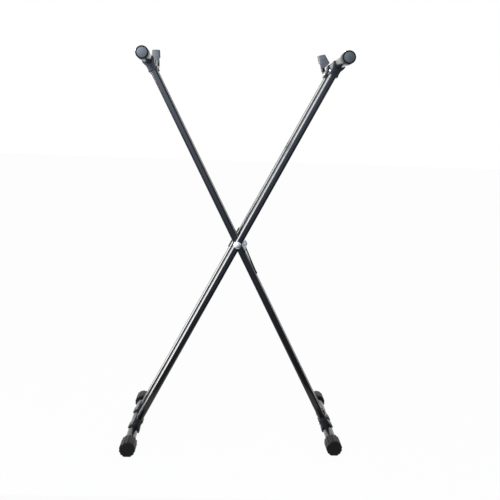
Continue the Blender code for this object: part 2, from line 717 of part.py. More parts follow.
def build_nut(parent):
    seat = NUT_SEAT
    bore = BOLT_RADIUS + GAP
    washer("pivot_washer", parent, "bright_steel", seat + GAP, seat + WASHER_THICKNESS, WASHER_RADIUS, bore)
    low = seat + WASHER_THICKNESS + GAP
    high = low + NUT_HEIGHT
    hexagon = []
    for x, y in circle(1, PIN_SIDES):
        sector = math.radians(60) * round(math.atan2(y, x) / math.radians(60))
        reach = NUT_ACROSS / 2 / (x * math.cos(sector) + y * math.sin(sector))
        hexagon.append((x * reach, y * reach))
    inner = circle(bore, PIN_SIDES)
    crown = circle(NUT_ACROSS / 2 - NUT_CROWN_INSET, PIN_SIDES)
    stations = [(low, hexagon), (high - NUT_CROWN, hexagon), (high, crown), (high, inner), (low, inner)]
    add_object("pivot_nut", stacked(stations, ring=True, turn=TO_Y), parent, "bright_steel")


def build_saddle(parent):
    """U-shaped plate round the back of the rear outer leg, under the pivot's washer."""
    inside = LEG_WIDTH / 2 + GAP
    outside = inside + SADDLE_PLATE
    face = OUTER_REAR_LEG_Y + LEG_DEPTH / 2 + GAP
    outline = [
        (-outside, face + SADDLE_PLATE),
        (outside, face + SADDLE_PLATE),
        (outside, face - SADDLE_FLANGE),
        (inside, face - SADDLE_FLANGE),
        (inside, face),
        (-inside, face),
        (-inside, face - SADDLE_FLANGE),
        (-outside, face - SADDLE_FLANGE),
    ]
    bm = stacked([(-SADDLE_LENGTH / 2, outline), (SADDLE_LENGTH / 2, outline)])
    saddle = add_object("pivot_saddle", bm, parent, "black_steel")
    hole = circle(BOLT_RADIUS + GAP, PIN_SIDES)
    pin = stacked([(face - SADDLE_PLATE, hole), (face + 2 * SADDLE_PLATE, hole)], turn=TO_Y)
    cut(saddle, make_cutter("saddle_cutter", pin, parent))


def build_pivot(outer, inner):
    bore = BOLT_RADIUS + GAP
    leg = LEG_DEPTH / 2
    build_bolt(outer)
    build_nut(outer)
    build_saddle(outer)
    front_low = OUTER_FRONT_LEG_Y + leg + GAP
    front_high = INNER_FRONT_LEG_Y - leg - GAP
    washer("front_gap_washer", outer, "white_nylon", front_low, front_high, LEG_WIDTH / 2 - GAP, bore)
    rear_low = INNER_REAR_LEG_Y + leg + GAP
    rear_high = OUTER_REAR_LEG_Y - leg - GAP
    washer("rear_gap_washer", outer, "white_nylon", rear_low, rear_high, LEG_WIDTH / 2 - GAP, bore)
    for place, y in zip(("front", "rear"), LEG_Y["inner"]):
        name = f"inner_{place}_bush"
        washer(name, inner, "white_nylon", -leg, leg, bore + BUSH_WALL, bore, (0, y, 0))
    hub = SECTOR_THICKNESS / 2 + GAP
    front, rear = INNER_FRONT_LEG_Y + leg + GAP, INNER_REAR_LEG_Y - leg - GAP
    washer("front_pivot_spacer", inner, "bright_steel", front, LOCK_Y - hub, SPACER_RADIUS, bore)
    washer("rear_pivot_spacer", inner, "bright_steel", LOCK_Y + hub, rear, SPACER_RADIUS, bore)


def sector_outline():
    """Hub circle with a toothed arc on the side that the pawl reaches, in the outer frame's X and Z."""
    outline = []
    steps = SECTOR_POINTS
    for i in range(steps):
        angle = 2 * math.pi * i / steps
        off_middle = math.remainder(angle - (SECTOR_FROM + SECTOR_TO) / 2, 2 * math.pi)
        radius = SECTOR_HUB
        if abs(off_middle) <= (SECTOR_TO - SECTOR_FROM) / 2:
            offset = math.remainder(angle - TOOTH_PHASE, 2 * math.pi) / TOOTH_STEP
            in_notch = abs(offset - round(offset)) < NOTCH_SHARE / 2
            radius = SECTOR_RADIUS - (TOOTH_DEPTH if in_notch else 0)
        outline.append((radius * math.cos(angle), radius * math.sin(angle)))
    return outline


def build_sector(parent):
    half = SECTOR_THICKNESS / 2
    bm = extruded(sector_outline(), -half, half)
    sector = add_object("lock_sector", bm, parent, "bright_steel", (0, LOCK_Y, 0))
    bore = flatted(BOLT_RADIUS + GAP, BOLT_FLAT + GAP)
    drill = stacked([(-2 * half, bore), (2 * half, bore)], turn=TO_Y)
    cut(sector, make_cutter("sector_cutter", drill, parent, (0, LOCK_Y, 0)))


def ear_cuts(face):
    """What comes off both ears in X and Z: the slope below them and their outer top corner."""
    far = 2 * EAR_REACH
    foot = 2 * BRACKET_LOW
    top = BRACKET_HIGH + BRACKET_PLATE
    root = face + EAR_RELIEF
    low = [(root, foot), (far, foot), (far, EAR_TIP_LOW), (EAR_REACH, EAR_TIP_LOW), (root, EAR_LOW)]
    corner = EAR_REACH - EAR_CORNER - BRACKET_PLATE
    high = [(corner, top), (EAR_REACH, BRACKET_HIGH - EAR_CORNER), (far, BRACKET_HIGH - EAR_CORNER), (far, top)]
    return low, high


def build_bracket(parent):
    """Plate across both inner legs with two ears for the lever's pin, open in the middle for the sector."""
    seat = LEG_WIDTH / 2 + GAP
    face = seat + BRACKET_PLATE
    edge = (INNER_REAR_LEG_Y - INNER_FRONT_LEG_Y + LEG_DEPTH) / 2
    ear = EAR_INNER_Y + BRACKET_PLATE
    plan = [
        (seat, -edge),
        (face, -edge),
        (face, -ear),
        (EAR_REACH, -ear),
        (EAR_REACH, -EAR_INNER_Y),
        (face, -EAR_INNER_Y),
        (face, EAR_INNER_Y),
        (EAR_REACH, EAR_INNER_Y),
        (EAR_REACH, ear),
        (face, ear),
        (face, edge),
        (seat, edge),
    ]
    bm = stacked([(BRACKET_LOW, plan), (BRACKET_HIGH, plan)])
    bracket = add_object("lock_bracket", bm, parent, "bright_steel", (0, LOCK_Y, 0))
    half = EAR_INNER_Y + EAR_RELIEF
    low = LEVER_PIN_Z - LEVER_EYE
    window = box((0, face + EAR_RELIEF), (-half, half), (low, BRACKET_HIGH + BRACKET_PLATE))
    cut(bracket, make_cutter("bracket_window_cutter", window, parent, (0, LOCK_Y, 0)))
    for place, outline in zip(("low", "high"), ear_cuts(face)):
        trimming = extruded(outline, -2 * ear, 2 * ear)
        cut(bracket, make_cutter(f"ear_{place}_cutter", trimming, parent, (0, LOCK_Y, 0)))
    pin = circle(LEVER_PIN_RADIUS + GAP, SCREW_SIDES)
    drill = stacked([(-2 * ear, pin), (2 * ear, pin)], turn=TO_Y)
    cut(bracket, make_cutter("bracket_pin_cutter", drill, parent, (LEVER_PIN_X, LOCK_Y, LEVER_PIN_Z)))
    bore = circle(SCREW_RADIUS + GAP, SCREW_SIDES)
    hole = stacked([(0, bore), (2 * face, bore)], turn=TO_X)
    for place, y in zip(("front", "rear"), LEG_Y["inner"]):
        cutter = make_cutter(f"bracket_{place}_cutter", hole.copy(), parent, (0, y, BRACKET_SCREW_Z))
        cut(bracket, cutter)
        cut(bpy.data.objects[f"inner_{place}_leg"], cutter)
        length = BRACKET_PLATE + LEG_WALL + SCREW_THROUGH
        turn = Matrix.Rotation(math.pi / 2, 4, "Y")
        at = (face + GAP, y, BRACKET_SCREW_Z)
        add_object(f"bracket_{place}_screw", screw(length, turn), parent, "bright_steel", at)
    hole.free()


def lever_outline():
    """Lever's side in X and Z: eye, pawl facing the sector, and a long shank that turns out a little at its end."""
    half = LEVER_THICKNESS / 2
    foot = LEVER_PIN_Z - LEVER_EYE
    toward = Vector((math.cos(PAWL_ANGLE), math.sin(PAWL_ANGLE)))
    across = Vector((-toward.y, toward.x)) * PAWL_TIP / 2
    tip = toward * (SECTOR_RADIUS + PAWL_CLEARANCE)
    pin = Vector((LEVER_PIN_X, LEVER_PIN_Z))
    root = pin - toward * LEVER_EYE * PAWL_ROOT_SHARE
    outline = [
        tuple(tip - across),
        tuple(root - across),
        (LEVER_TOP_X - half, foot - LEVER_SHOULDER),
        (LEVER_END_X - half, LEVER_END_Z + LEVER_KNEE),
        (LEVER_END_X - half + LEVER_FLICK, LEVER_END_Z),
        (LEVER_END_X + half + LEVER_FLICK, LEVER_END_Z),
        (LEVER_END_X + half, LEVER_END_Z + LEVER_KNEE),
        (LEVER_TOP_X + half, foot - LEVER_SHOULDER),
    ]
    sweep = math.pi + PAWL_ANGLE - EYE_BESIDE_PAWL - EYE_FROM
    for step in range(EYE_STEPS + 1):
        angle = EYE_FROM + sweep * step / EYE_STEPS
        outline.append((pin.x + LEVER_EYE * math.cos(angle), pin.y + LEVER_EYE * math.sin(angle)))
    return outline + [tuple(root + across), tuple(tip + across)]


def build_lever(parent):
    bm = extruded(lever_outline(), LEVER_FRONT_Y, LEVER_REAR_Y)
    bmesh.ops.translate(bm, vec=(-LEVER_PIN_X, 0, -LEVER_PIN_Z), verts=bm.verts)
    lever = add_object("release_lever", bm, parent, "black_steel", (LEVER_PIN_X, LOCK_Y, LEVER_PIN_Z))
    pin = circle(LEVER_PIN_RADIUS + GAP, SCREW_SIDES)
    drill = stacked([(2 * LEVER_FRONT_Y, pin), (-2 * LEVER_FRONT_Y, pin)], turn=TO_Y)
    cut(lever, make_cutter("lever_pin_cutter", drill, parent, (LEVER_PIN_X, LOCK_Y, LEVER_PIN_Z)))


def build_lever_pin(parent):
    ear = EAR_INNER_Y + BRACKET_PLATE
    head = LEVER_PIN_RADIUS + PIN_HEAD_RIM
    seat = -ear - GAP
    profile = [
        (head - PIN_HEAD_CHAMFER, seat - PIN_HEAD_HEIGHT),
        (head, seat - PIN_HEAD_HEIGHT + PIN_HEAD_CHAMFER),
        (head, seat),
        (LEVER_PIN_RADIUS, seat),
        (LEVER_PIN_RADIUS, ear + PIN_TAIL - PIN_TAIL_CHAMFER),
        (LEVER_PIN_RADIUS - PIN_TAIL_CHAMFER, ear + PIN_TAIL),
    ]
    bm = stacked(lathe_outlines(profile, SCREW_SIDES), turn=TO_Y)
    add_object("lever_pin", bm, parent, "bright_steel", (LEVER_PIN_X, LOCK_Y, LEVER_PIN_Z))


def spring_point(turns):
    """Centre line of the return spring round the lever's pin, between the lever and the rear ear."""
    space = EAR_INNER_Y - LEVER_REAR_Y - 2 * GAP - 2 * SPRING_WIRE
    angle = 2 * math.pi * turns
    y = LEVER_REAR_Y + GAP + SPRING_WIRE + space * turns / SPRING_TURNS
    return Vector((SPRING_RADIUS * math.cos(angle), y, SPRING_RADIUS * math.sin(angle)))


def build_spring(parent):
    count = SPRING_TURNS * SPRING_POINTS
    points = [spring_point(i / SPRING_POINTS) for i in range(count + 1)]
    least = min((points[i] - points[i + SPRING_POINTS]).length for i in range(count - SPRING_POINTS + 1))
    print(f"return spring: least gap between turns {(least - 2 * SPRING_WIRE) / MM:.2f} mm")
    curve = bpy.data.curves.new("return_spring", "CURVE")
    curve.dimensions = "3D"
    spline = curve.splines.new("POLY")
    spline.points.add(len(points) - 1)
    for point, place in zip(spline.points, points):
        point.co = (*place, 1)
    curve.bevel_depth = SPRING_WIRE
    curve.bevel_resolution = 1
    curve.use_fill_caps = True
    curve.materials.append(material("bright_steel"))
    spring = bpy.data.objects.new("return_spring", curve)
    bpy.context.collection.objects.link(spring)
    spring.parent = parent
    spring.location = (LEVER_PIN_X, LOCK_Y, LEVER_PIN_Z)


def main():
    clear_scene()
    outer = frame_empty("outer_frame", LEAN)
    inner = frame_empty("inner_frame", -LEAN)
    build_frame("outer", outer)
    build_frame("inner", inner)
    build_pivot(outer, inner)
    build_sector(outer)
    build_bracket(inner)
    build_lever(inner)
    build_lever_pin(inner)
    build_spring(inner)


main()
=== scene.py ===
"""Finish of the double X keyboard stand, modelled over its frame and lit in a plain studio.

The outer frame leans right at its top and the inner frame leans left. Places come from the
frame's own nodes, and -Y is the player's side. Run it as a script; the panel in the 3D view's
sidebar lists the same steps.
"""

import json
import math

import bpy
from mathutils import Matrix, Vector

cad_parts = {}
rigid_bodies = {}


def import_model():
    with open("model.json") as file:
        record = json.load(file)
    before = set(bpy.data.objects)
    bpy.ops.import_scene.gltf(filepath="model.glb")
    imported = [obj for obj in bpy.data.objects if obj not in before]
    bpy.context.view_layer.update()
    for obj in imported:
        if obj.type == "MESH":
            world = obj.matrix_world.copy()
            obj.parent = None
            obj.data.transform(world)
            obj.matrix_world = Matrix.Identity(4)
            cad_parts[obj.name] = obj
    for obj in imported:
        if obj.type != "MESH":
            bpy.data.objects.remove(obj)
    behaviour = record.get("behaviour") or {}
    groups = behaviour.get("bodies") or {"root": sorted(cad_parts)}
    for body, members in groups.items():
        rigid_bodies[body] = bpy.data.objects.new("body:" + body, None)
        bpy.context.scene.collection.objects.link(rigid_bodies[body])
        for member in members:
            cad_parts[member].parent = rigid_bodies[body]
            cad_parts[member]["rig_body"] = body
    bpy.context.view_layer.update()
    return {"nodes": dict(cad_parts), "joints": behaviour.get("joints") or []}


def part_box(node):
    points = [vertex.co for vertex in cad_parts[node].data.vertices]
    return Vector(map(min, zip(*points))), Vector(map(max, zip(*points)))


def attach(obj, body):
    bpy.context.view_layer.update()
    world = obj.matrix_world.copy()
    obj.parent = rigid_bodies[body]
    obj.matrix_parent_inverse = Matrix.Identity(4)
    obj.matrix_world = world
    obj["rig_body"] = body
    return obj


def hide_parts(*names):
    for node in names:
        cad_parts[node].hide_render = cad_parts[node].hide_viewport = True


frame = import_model()

bl_info = {
    "name": "Double X keyboard stand",
    "version": (1, 0, 0),
    "blender": (4, 5, 0),
    "location": "View3D > Sidebar > Stand",
    "description": "Models the pieces of a folding double X keyboard stand and its studio",
    "category": "Add Mesh",
}

MM = 0.001
GAP = 0.3 * MM
MERGE = 0.002 * MM
CUT_REACH = 100 * MM
ROUND_SIDES = 64
SMALL_SIDES = 40
TO_Y = Matrix.Rotation(-math.pi / 2, 4, "X")
SIDEWAYS = Matrix.Rotation(math.pi / 2, 4, "Z") @ Matrix.Rotation(math.pi / 2, 4, "X")
FRAMES = ("outer", "inner")
PLACES = ("front", "rear")
NODES = frame["nodes"]
RIM = "rim"
SLOTS = {name: node.material_slots[0].name.split(".")[0] for name, node in NODES.items()}
PIVOT = Vector(next(joint["pos_m"] for joint in frame["joints"] if joint["name"] == "x_fold"))


def length(name, description, millimetres):
    return bpy.props.FloatProperty(
        name=name, description=description, default=millimetres * MM, unit="LENGTH", precision=5
    )


def share(name, description, default):
    return bpy.props.FloatProperty(name=name, description=description, default=default, subtype="FACTOR")


def colour(name, description, default):
    return bpy.props.FloatVectorProperty(
        name=name, description=description, default=default, subtype="COLOR", size=3, min=0, max=1
    )


def box_size(node):
    low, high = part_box(node)
    return high - low


class StandSizes(bpy.types.PropertyGroup):
    """Sizes of the stand's pieces that the frame doesn't fix."""

    leg_corner: length("Leg corner", "Corner radius of the legs' rounded tube", 5)
    wall: length("Tube wall", "Wall of the legs, the bars and the arms", 1.5)
    cap_rim: length("Cap rim", "Width of the raised rim round an arm cap's face", 2.6)
    cap_dome: length("Cap dome", "Rise of the slightly domed face of an arm cap", 0.9)
    cap_face: length("Cap face", "Thickness of an arm cap's closed end", 6.2)
    foot_ribs: bpy.props.IntProperty(name="Foot ribs", description="Ribs round a foot cap", default=14)
    foot_rib_depth: length("Foot rib depth", "Depth of the grooves between a foot cap's ribs", 1.1)
    foot_face: length("Foot face", "Thickness of a foot cap's closed end", 6)
    foot_edge: length("Foot edge", "Rounding of a foot cap's ends", 1.5)
    collar_shoulder: length("Collar shoulder", "Straight part of a collar beside the bar", 4)
    collar_neck: length("Collar neck", "Distance from the bar's axis to the collar's sleeve", 19)
    collar_wall: length("Collar wall", "Wall of the collar's sleeve round the leg", 2.5)
    collar_lip: length("Collar lip", "Height of the lip at the sleeve's end", 0.8)
    collar_lip_length: length("Collar lip length", "Length of the lip at the sleeve's end", 4.5)
    collar_edge: length("Collar edge", "Rounding of the collar's edges", 0.8)
    screw_head: length("Screw head radius", "Radius of the pan heads", 3.4)
    screw_height: length("Screw head height", "Height of the pan heads", 2.2)
    screw_shank: length("Screw shank", "Radius of the screws' shanks", 1.8)
    stop_bend: length("Stop bend", "Bend radius of the stop rods' centre line", 24)
    paddle_thickness: length("Paddle thickness", "Thickness of the rubber paddles", 5)
    paddle_corner: length("Paddle corner", "Corner radius of the paddles' tops", 3)
    paddle_edge: length("Paddle edge", "Rounding of the paddles' edges", 1.3)
    bolt_radius: length("Bolt radius", "Radius of the pivot bolt", 5)
    thread_pitch: length("Thread pitch", "Pitch of the bolt's thread", 1.5)


class StandFinishes(bpy.types.PropertyGroup):
    """Colours of the stand's finishes, and the roughness of its paint."""

    paint: colour("Paint", "Gloss black paint of the tubes", (0.0022, 0.0024, 0.0032))
    paint_roughness: share("Paint roughness", "Roughness of the gloss paint", 0.12)
    collar: colour("Collar plastic", "Moulded plastic of the collars", (0.004, 0.0045, 0.006))
    foot: colour("Foot rubber", "Rubber of the ribbed foot caps", (0.003, 0.0033, 0.0036))
    cap: colour("Cap plastic", "Plastic of the arm caps and plugs", (0.07, 0.073, 0.074))
    paddle: colour("Paddle rubber", "Soft rubber of the stop paddles", (0.1, 0.107, 0.118))
    steel: colour("Plated steel", "Bright plated steel of the bolt, screws and bracket", (0.6, 0.6, 0.6))
    dark_steel: colour("Dark steel", "Painted steel of the lever and the saddle", (0.014, 0.015, 0.017))
    nylon: colour("Nylon", "White nylon of the washers and bushes", (0.7, 0.69, 0.66))
    floor: colour("Floor", "Pale studio floor", (0.82, 0.82, 0.82))


def sizes():
    return bpy.context.scene.stand_sizes


def colours():
    return bpy.context.scene.stand_finishes


# Places in the frame


def moved(x, y, z):
    return Matrix.Translation((x, y, z))


def centre(node):
    low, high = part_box(node)
    return (low + high) / 2


def lean(side):
    """Turn about Y of a frame's legs, from its base bar to its arm."""
    rise = centre(side + "_arm") - centre(side + "_base_bar")
    return math.atan2(rise.x, rise.z)


def leaned(side):
    """Matrix to the stand's axes from a frame's own, with Z along the legs and 0 at the pivot."""
    return moved(*PIVOT) @ Matrix.Rotation(lean(side), 4, "Y")


def box_in(node, axes):
    """Lowest and highest corner of a CAD node in other axes."""
    back = axes.inverted()
    points = [back @ vertex.co for vertex in NODES[node].data.vertices]
    low = Vector([min(point[i] for point in points) for i in range(3)])
    high = Vector([max(point[i] for point in points) for i in range(3)])
    return low, high


def middle_of(points):
    """Mean of the points that differ, which lies on the axis of a turned shape."""
    different = {tuple(round(value, 5) for value in point) for point in points}
    return sum((Vector(point) for point in different), Vector()) / len(different)


# Modelling steps


def deselect():
    if bpy.context.object and bpy.context.object.mode != "OBJECT":
        bpy.ops.object.mode_set(mode="OBJECT")
    bpy.ops.object.select_all(action="DESELECT")


def choose(thing):
    deselect()
    thing.select_set(True)
    bpy.context.view_layer.objects.active = thing


def finished_drawing():
    """Merges what was drawn in edit mode, turns its faces outwards and returns the object."""
    bpy.ops.mesh.select_all(action="SELECT")
    bpy.ops.mesh.remove_doubles(threshold=MERGE)
    bpy.ops.mesh.normals_make_consistent(inside=False)
    bpy.ops.object.mode_set(mode="OBJECT")
    return bpy.context.object


def closed_drawing():
    """Closes the open ends of what was drawn and finishes it."""
    bpy.ops.mesh.select_all(action="SELECT")
    bpy.ops.mesh.fill_holes(sides=0)
    return finished_drawing()


def edit_all():
    bpy.ops.object.mode_set(mode="EDIT")
    bpy.ops.mesh.select_all(action="SELECT")


def start_at(point):
    """Starts a drawing with one selected vertex."""
    deselect()
    bpy.ops.mesh.primitive_plane_add(size=MM)
    bpy.ops.object.mode_set(mode="EDIT")
    bpy.ops.mesh.select_mode(type="VERT")
    bpy.ops.mesh.select_all(action="SELECT")
    bpy.ops.mesh.merge(type="CENTER")
    bpy.ops.transform.translate(value=point)


def extrude_by(step):
    bpy.ops.mesh.extrude_region_move(TRANSFORM_OT_translate={"value": step})


def draw(points):
    """Draws a chain of edges through points, still in edit mode and selected all over."""
    start_at(points[0])
    for before, after in zip(points, points[1:]):
        extrude_by(Vector(after) - Vector(before))
    bpy.ops.mesh.select_all(action="SELECT")


def turned(profile, sides=ROUND_SIDES, closed=False):
    """Solid turned about Z from (radius, height) pairs; a closed profile has a bore."""
    draw([(radius, 0, height) for radius, height in profile])
    if closed:
        bpy.ops.mesh.edge_face_add()
        bpy.ops.mesh.delete(type="ONLY_FACE")
        bpy.ops.mesh.select_all(action="SELECT")
    bpy.ops.mesh.spin(steps=sides, angle=2 * math.pi, center=(0, 0, 0), axis=(0, 0, 1))
    return finished_drawing()


def ring(outside, inside, low, high, edge, sides=SMALL_SIDES):
    """Turned washer, bush or tube with softened edges."""
    profile = [
        (inside, low),
        (outside - edge, low),
        (outside, low + edge),
        (outside, high - edge),
        (outside - edge, high),
        (inside, high),
    ]
    return turned(profile, sides, closed=True)


def plate(outline, depth):
    """Flat outline of (x, z) pairs, thickened along Y on both sides of zero."""
    draw([(x, -depth / 2, z) for x, z in outline])
    bpy.ops.mesh.edge_face_add()
    extrude_by((0, depth, 0))
    return finished_drawing()


def finish_modifier(thing, modifier):
    choose(thing)
    bpy.ops.object.modifier_apply(modifier=modifier.name)


def soften(thing, width, segments=2, degrees=35):
    """Rounds the sharp edges of a piece."""
    bevel = thing.modifiers.new("soften", "BEVEL")
    bevel.width = width
    bevel.segments = segments
    bevel.limit_method = "ANGLE"
    bevel.angle_limit = math.radians(degrees)
    finish_modifier(thing, bevel)


def carve(thing, tool, operation="DIFFERENCE"):
    """Cuts, joins or crosses a piece with a tool, which is used up."""
    boolean = thing.modifiers.new("carve", "BOOLEAN")
    boolean.operation = operation
    boolean.solver = "EXACT"
    boolean.object = tool
    finish_modifier(thing, boolean)
    bpy.data.objects.remove(tool, do_unlink=True)


def drill(thing, radius, reach, matrix=Matrix.Identity(4)):
    """Bores a round hole along the matrix's Z, to both sides of its origin."""
    deselect()
    bpy.ops.mesh.primitive_cylinder_add(vertices=ROUND_SIDES, radius=radius, depth=2 * reach)
    tool = bpy.context.object
    tool.matrix_world = matrix
    carve(thing, tool)


def settle(thing, matrix):
    """Puts a piece's place into its mesh."""
    thing.matrix_world = matrix
    choose(thing)
    bpy.ops.object.transform_apply(location=True, rotation=True, scale=True)


def complete(thing, node, matrix, degrees=32):
    """Places a piece over its CAD node, with that node's finish, and rides it on the same body."""
    settle(thing, matrix)
    bpy.ops.object.shade_smooth_by_angle(angle=math.radians(degrees))
    slot = SLOTS[node]
    thing.name = node + "_made"
    thing.data.name = thing.name
    thing.data.materials.clear()
    thing.data.materials.append(bpy.data.materials["finish_" + slot])
    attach(thing, NODES[node]["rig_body"])
    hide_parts(node)


def copy_of(thing):
    """Copy of a piece with its own mesh."""
    choose(thing)
    bpy.ops.object.duplicate()
    return bpy.context.object


def merged_copy(node):
    """Copy of a flat CAD node with its triangles merged into whole faces."""
    made = copy_of(NODES[node])
    made.parent = None
    made.modifiers.clear()
    for key in [key for key in made.keys() if key.startswith("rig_")]:
        del made[key]
    choose(made)
    edit_all()
    bpy.ops.mesh.remove_doubles(threshold=MERGE)
    bpy.ops.mesh.dissolve_limited(angle_limit=math.radians(1))
    bpy.ops.object.mode_set(mode="OBJECT")
    return made


# Shader maths


class Reading:
    """A node's output that takes part in sums as a plain number does."""

    def __init__(self, finish, socket):
        self.finish = finish
        self.socket = socket

    def __add__(self, other):
        return self.finish.sum("ADD", self, other)

    def __sub__(self, other):
        return self.finish.sum("SUBTRACT", self, other)

    def __rsub__(self, other):
        return self.finish.sum("SUBTRACT", other, self)

    def __mul__(self, other):
        return self.finish.sum("MULTIPLY", self, other)

    __radd__ = __add__
    __rmul__ = __mul__


class Finish:
    """Node tree of one material or world, built node by node."""

    def __init__(self, block):
        block.use_nodes = True
        self.nodes = block.node_tree.nodes
        self.links = block.node_tree.links

    def feed(self, socket, value):
        if isinstance(value, Reading):
            self.links.new(value.socket, socket)
        else:
            socket.default_value = value

    def add(self, kind, settings, inputs, output=0):
        node = self.nodes.new(kind)
        for name, value in settings.items():
            setattr(node, name, value)
        for name, value in inputs.items():
            self.feed(node.inputs[name], value)
        return Reading(self, node.outputs[output])

    def sum(self, operation, first, second):
        return self.add("ShaderNodeMath", {"operation": operation}, {0: first, 1: second})

    def between(self, factor, first, second):
        """Colour from first to second."""
        return self.add("ShaderNodeMix", {"data_type": "RGBA"}, {0: factor, 6: first, 7: second}, 2)

    def place(self):
        return self.add("ShaderNodeTexCoord", {}, {}, "Object")

    def along(self, axis):
        return self.add("ShaderNodeSeparateXYZ", {}, {"Vector": self.place()}, axis)

    def noise(self, scale, detail=2.0, roughness=0.5):
        inputs = {"Vector": self.place(), "Scale": scale, "Detail": detail, "Roughness": roughness}
        return self.add("ShaderNodeTexNoise", {}, inputs, "Fac")

    def limited(self, reading, low, high):
        """Reading stretched so that low becomes 0 and high becomes 1, and held there."""
        inputs = {"Value": reading, "From Min": low, "From Max": high}
        return self.add("ShaderNodeMapRange", {"clamp": True}, inputs)

    def bump(self, height, distance):
        return self.add("ShaderNodeBump", {}, {"Height": height, "Distance": distance}, "Normal")

    def glow(self, colour, strength):
        return self.add("ShaderNodeEmission", {}, {"Color": colour, "Strength": strength})

    def shade(self, **values):
        """Feeds the shader's sockets; what is the same all over is set on the socket itself."""
        for name, value in values.items():
            self.feed(self.nodes["Principled BSDF"].inputs[name.replace("_", " ")], value)

    def surface(self, shader):
        self.feed(self.nodes["Material Output"].inputs["Surface"], shader)

    def cover(self, factor, shader):
        """Puts another shader over the material's own where the factor is 1."""
        own = Reading(self, self.nodes["Principled BSDF"].outputs["BSDF"])
        self.surface(self.add("ShaderNodeMixShader", {}, {0: factor, 1: own, 2: shader}))


def new_finish(slot):
    return Finish(bpy.data.materials.new("finish_" + slot))


def tinted(base, factor):
    return (*[min(1.0, value * factor) for value in base], 1)


def paint_finish():
    """Gloss black paint with a faint orange peel, wiped haze and a little dust."""
    finish = new_finish("tube_black")
    haze = finish.limited(finish.noise(7, 4), 0.35, 0.75)
    dust = finish.limited(finish.noise(420, 3, 0.7), 0.66, 0.8)
    paint = finish.between(haze * 0.5, tinted(colours().paint, 1), tinted(colours().paint, 1.8))
    finish.shade(
        Base_Color=finish.between(dust * 0.1, paint, (0.03, 0.031, 0.034, 1)),
        Roughness=haze * 0.04 + dust * 0.04 + colours().paint_roughness,
        Specular_IOR_Level=0.45,
        Normal=finish.bump(finish.noise(150, 1), 0.003 * MM),
    )


def moulded_finish(slot, base, roughness, specular, grain, depth):
    """Moulded plastic or rubber: fine grain, uneven sheen and a slightly rubbed colour."""
    finish = new_finish(slot)
    cloud = finish.limited(finish.noise(60, 4, 0.6), 0.3, 0.7)
    speck = finish.noise(grain, 2, 0.6)
    rubbed = finish.between(cloud * 0.6, tinted(base, 0.8), tinted(base, 1.35))
    finish.shade(
        Base_Color=finish.between(speck * 0.1, rubbed, tinted(base, 1.8)),
        Roughness=cloud * 0.06 + speck * 0.04 + (roughness - 0.05),
        Specular_IOR_Level=specular,
        Normal=finish.bump(speck, depth),
    )
    return finish


def cap_finish():
    """Smooth grey plastic, with the marked rims dull and near black."""
    finish = moulded_finish("cap_plastic", colours().cap, 0.2, 0.5, 1100, 0.001 * MM)
    rim = finish.add("ShaderNodeAttribute", {"attribute_name": RIM}, {}, "Fac")
    dull = {"Base Color": tinted(colours().foot, 1), "Roughness": 0.5, "Specular IOR Level": 0.06}
    finish.cover(rim, finish.add("ShaderNodeBsdfPrincipled", {}, dull, "BSDF"))


def plated_finish():
    """Bright plated steel with a soft blotch and fine pits."""
    finish = new_finish("bright_steel")
    cloud = finish.limited(finish.noise(150, 4, 0.6), 0.3, 0.7)
    pits = finish.limited(finish.noise(1400, 2), 0.6, 0.75)
    steel = colours().steel
    plate_colour = finish.between(cloud * 0.5, tinted(steel, 1), tinted(steel, 0.8))
    finish.shade(
        Base_Color=finish.between(pits * 0.3, plate_colour, tinted(steel, 0.5)),
        Metallic=1.0,
        Roughness=cloud * 0.1 + pits * 0.1 + 0.3,
        Normal=finish.bump(pits, -0.002 * MM),
    )


def dark_steel_finish():
    """Painted steel with rubbed spots where the metal's grey shows faintly."""
    finish = new_finish("black_steel")
    rub = finish.limited(finish.noise(240, 5, 0.65), 0.58, 0.72)
    painted, bare = tinted(colours().dark_steel, 1), tinted(colours().dark_steel, 5)
    finish.shade(
        Base_Color=finish.between(rub * 0.3, painted, bare),
        Roughness=0.34 - rub * 0.08,
        Specular_IOR_Level=0.5,
        Normal=finish.bump(finish.noise(700, 1), 0.003 * MM),
    )


class STAND_OT_finishes(bpy.types.Operator):
    """Make the paint, plastic, rubber, steel and nylon, and give them to the CAD nodes."""

    bl_idname = "stand.finishes"
    bl_label = "Finishes"

    def execute(self, context):
        paint_finish()
        moulded_finish("collar_plastic", colours().collar, 0.28, 0.42, 900, 0.003 * MM)
        moulded_finish("foot_rubber", colours().foot, 0.42, 0.12, 700, 0.008 * MM)
        cap_finish()
        moulded_finish("paddle_rubber", colours().paddle, 0.5, 0.4, 900, 0.005 * MM)
        moulded_finish("white_nylon", colours().nylon, 0.45, 0.5, 800, 0.004 * MM)
        plated_finish()
        dark_steel_finish()
        for name, node in NODES.items():
            node.material_slots[0].material = bpy.data.materials["finish_" + SLOTS[name]]
        return {"FINISHED"}


class STAND_OT_legs(bpy.types.Operator):
    """Make the four rounded rectangular leg tubes, coped to the bars and arms."""

    bl_idname = "stand.legs"
    bl_label = "Legs"

    def execute(self, context):
        for side in FRAMES:
            axes = leaned(side)
            up = axes.inverted() @ centre(side + "_arm")
            down = axes.inverted() @ centre(side + "_base_bar")
            for place in PLACES:
                node = f"{side}_{place}_leg"
                low, high = box_in(node, axes)
                leg = leg_tube(high.x - low.x, high.y - low.y, down.z, up.z)
                for end in (up, down):
                    across = moved(0, 0, end.z) @ TO_Y
                    drill(leg, box_size(side + "_arm").x / 2 + GAP, CUT_REACH, across)
                hole = box_size("inner_front_bush").x / 2 if side == "inner" else sizes().bolt_radius
                drill(leg, hole + GAP, high.y - low.y, TO_Y)
                y = (low.y + high.y) / 2
                complete(leg, node, axes @ moved(0, y, 0))
        return {"FINISHED"}


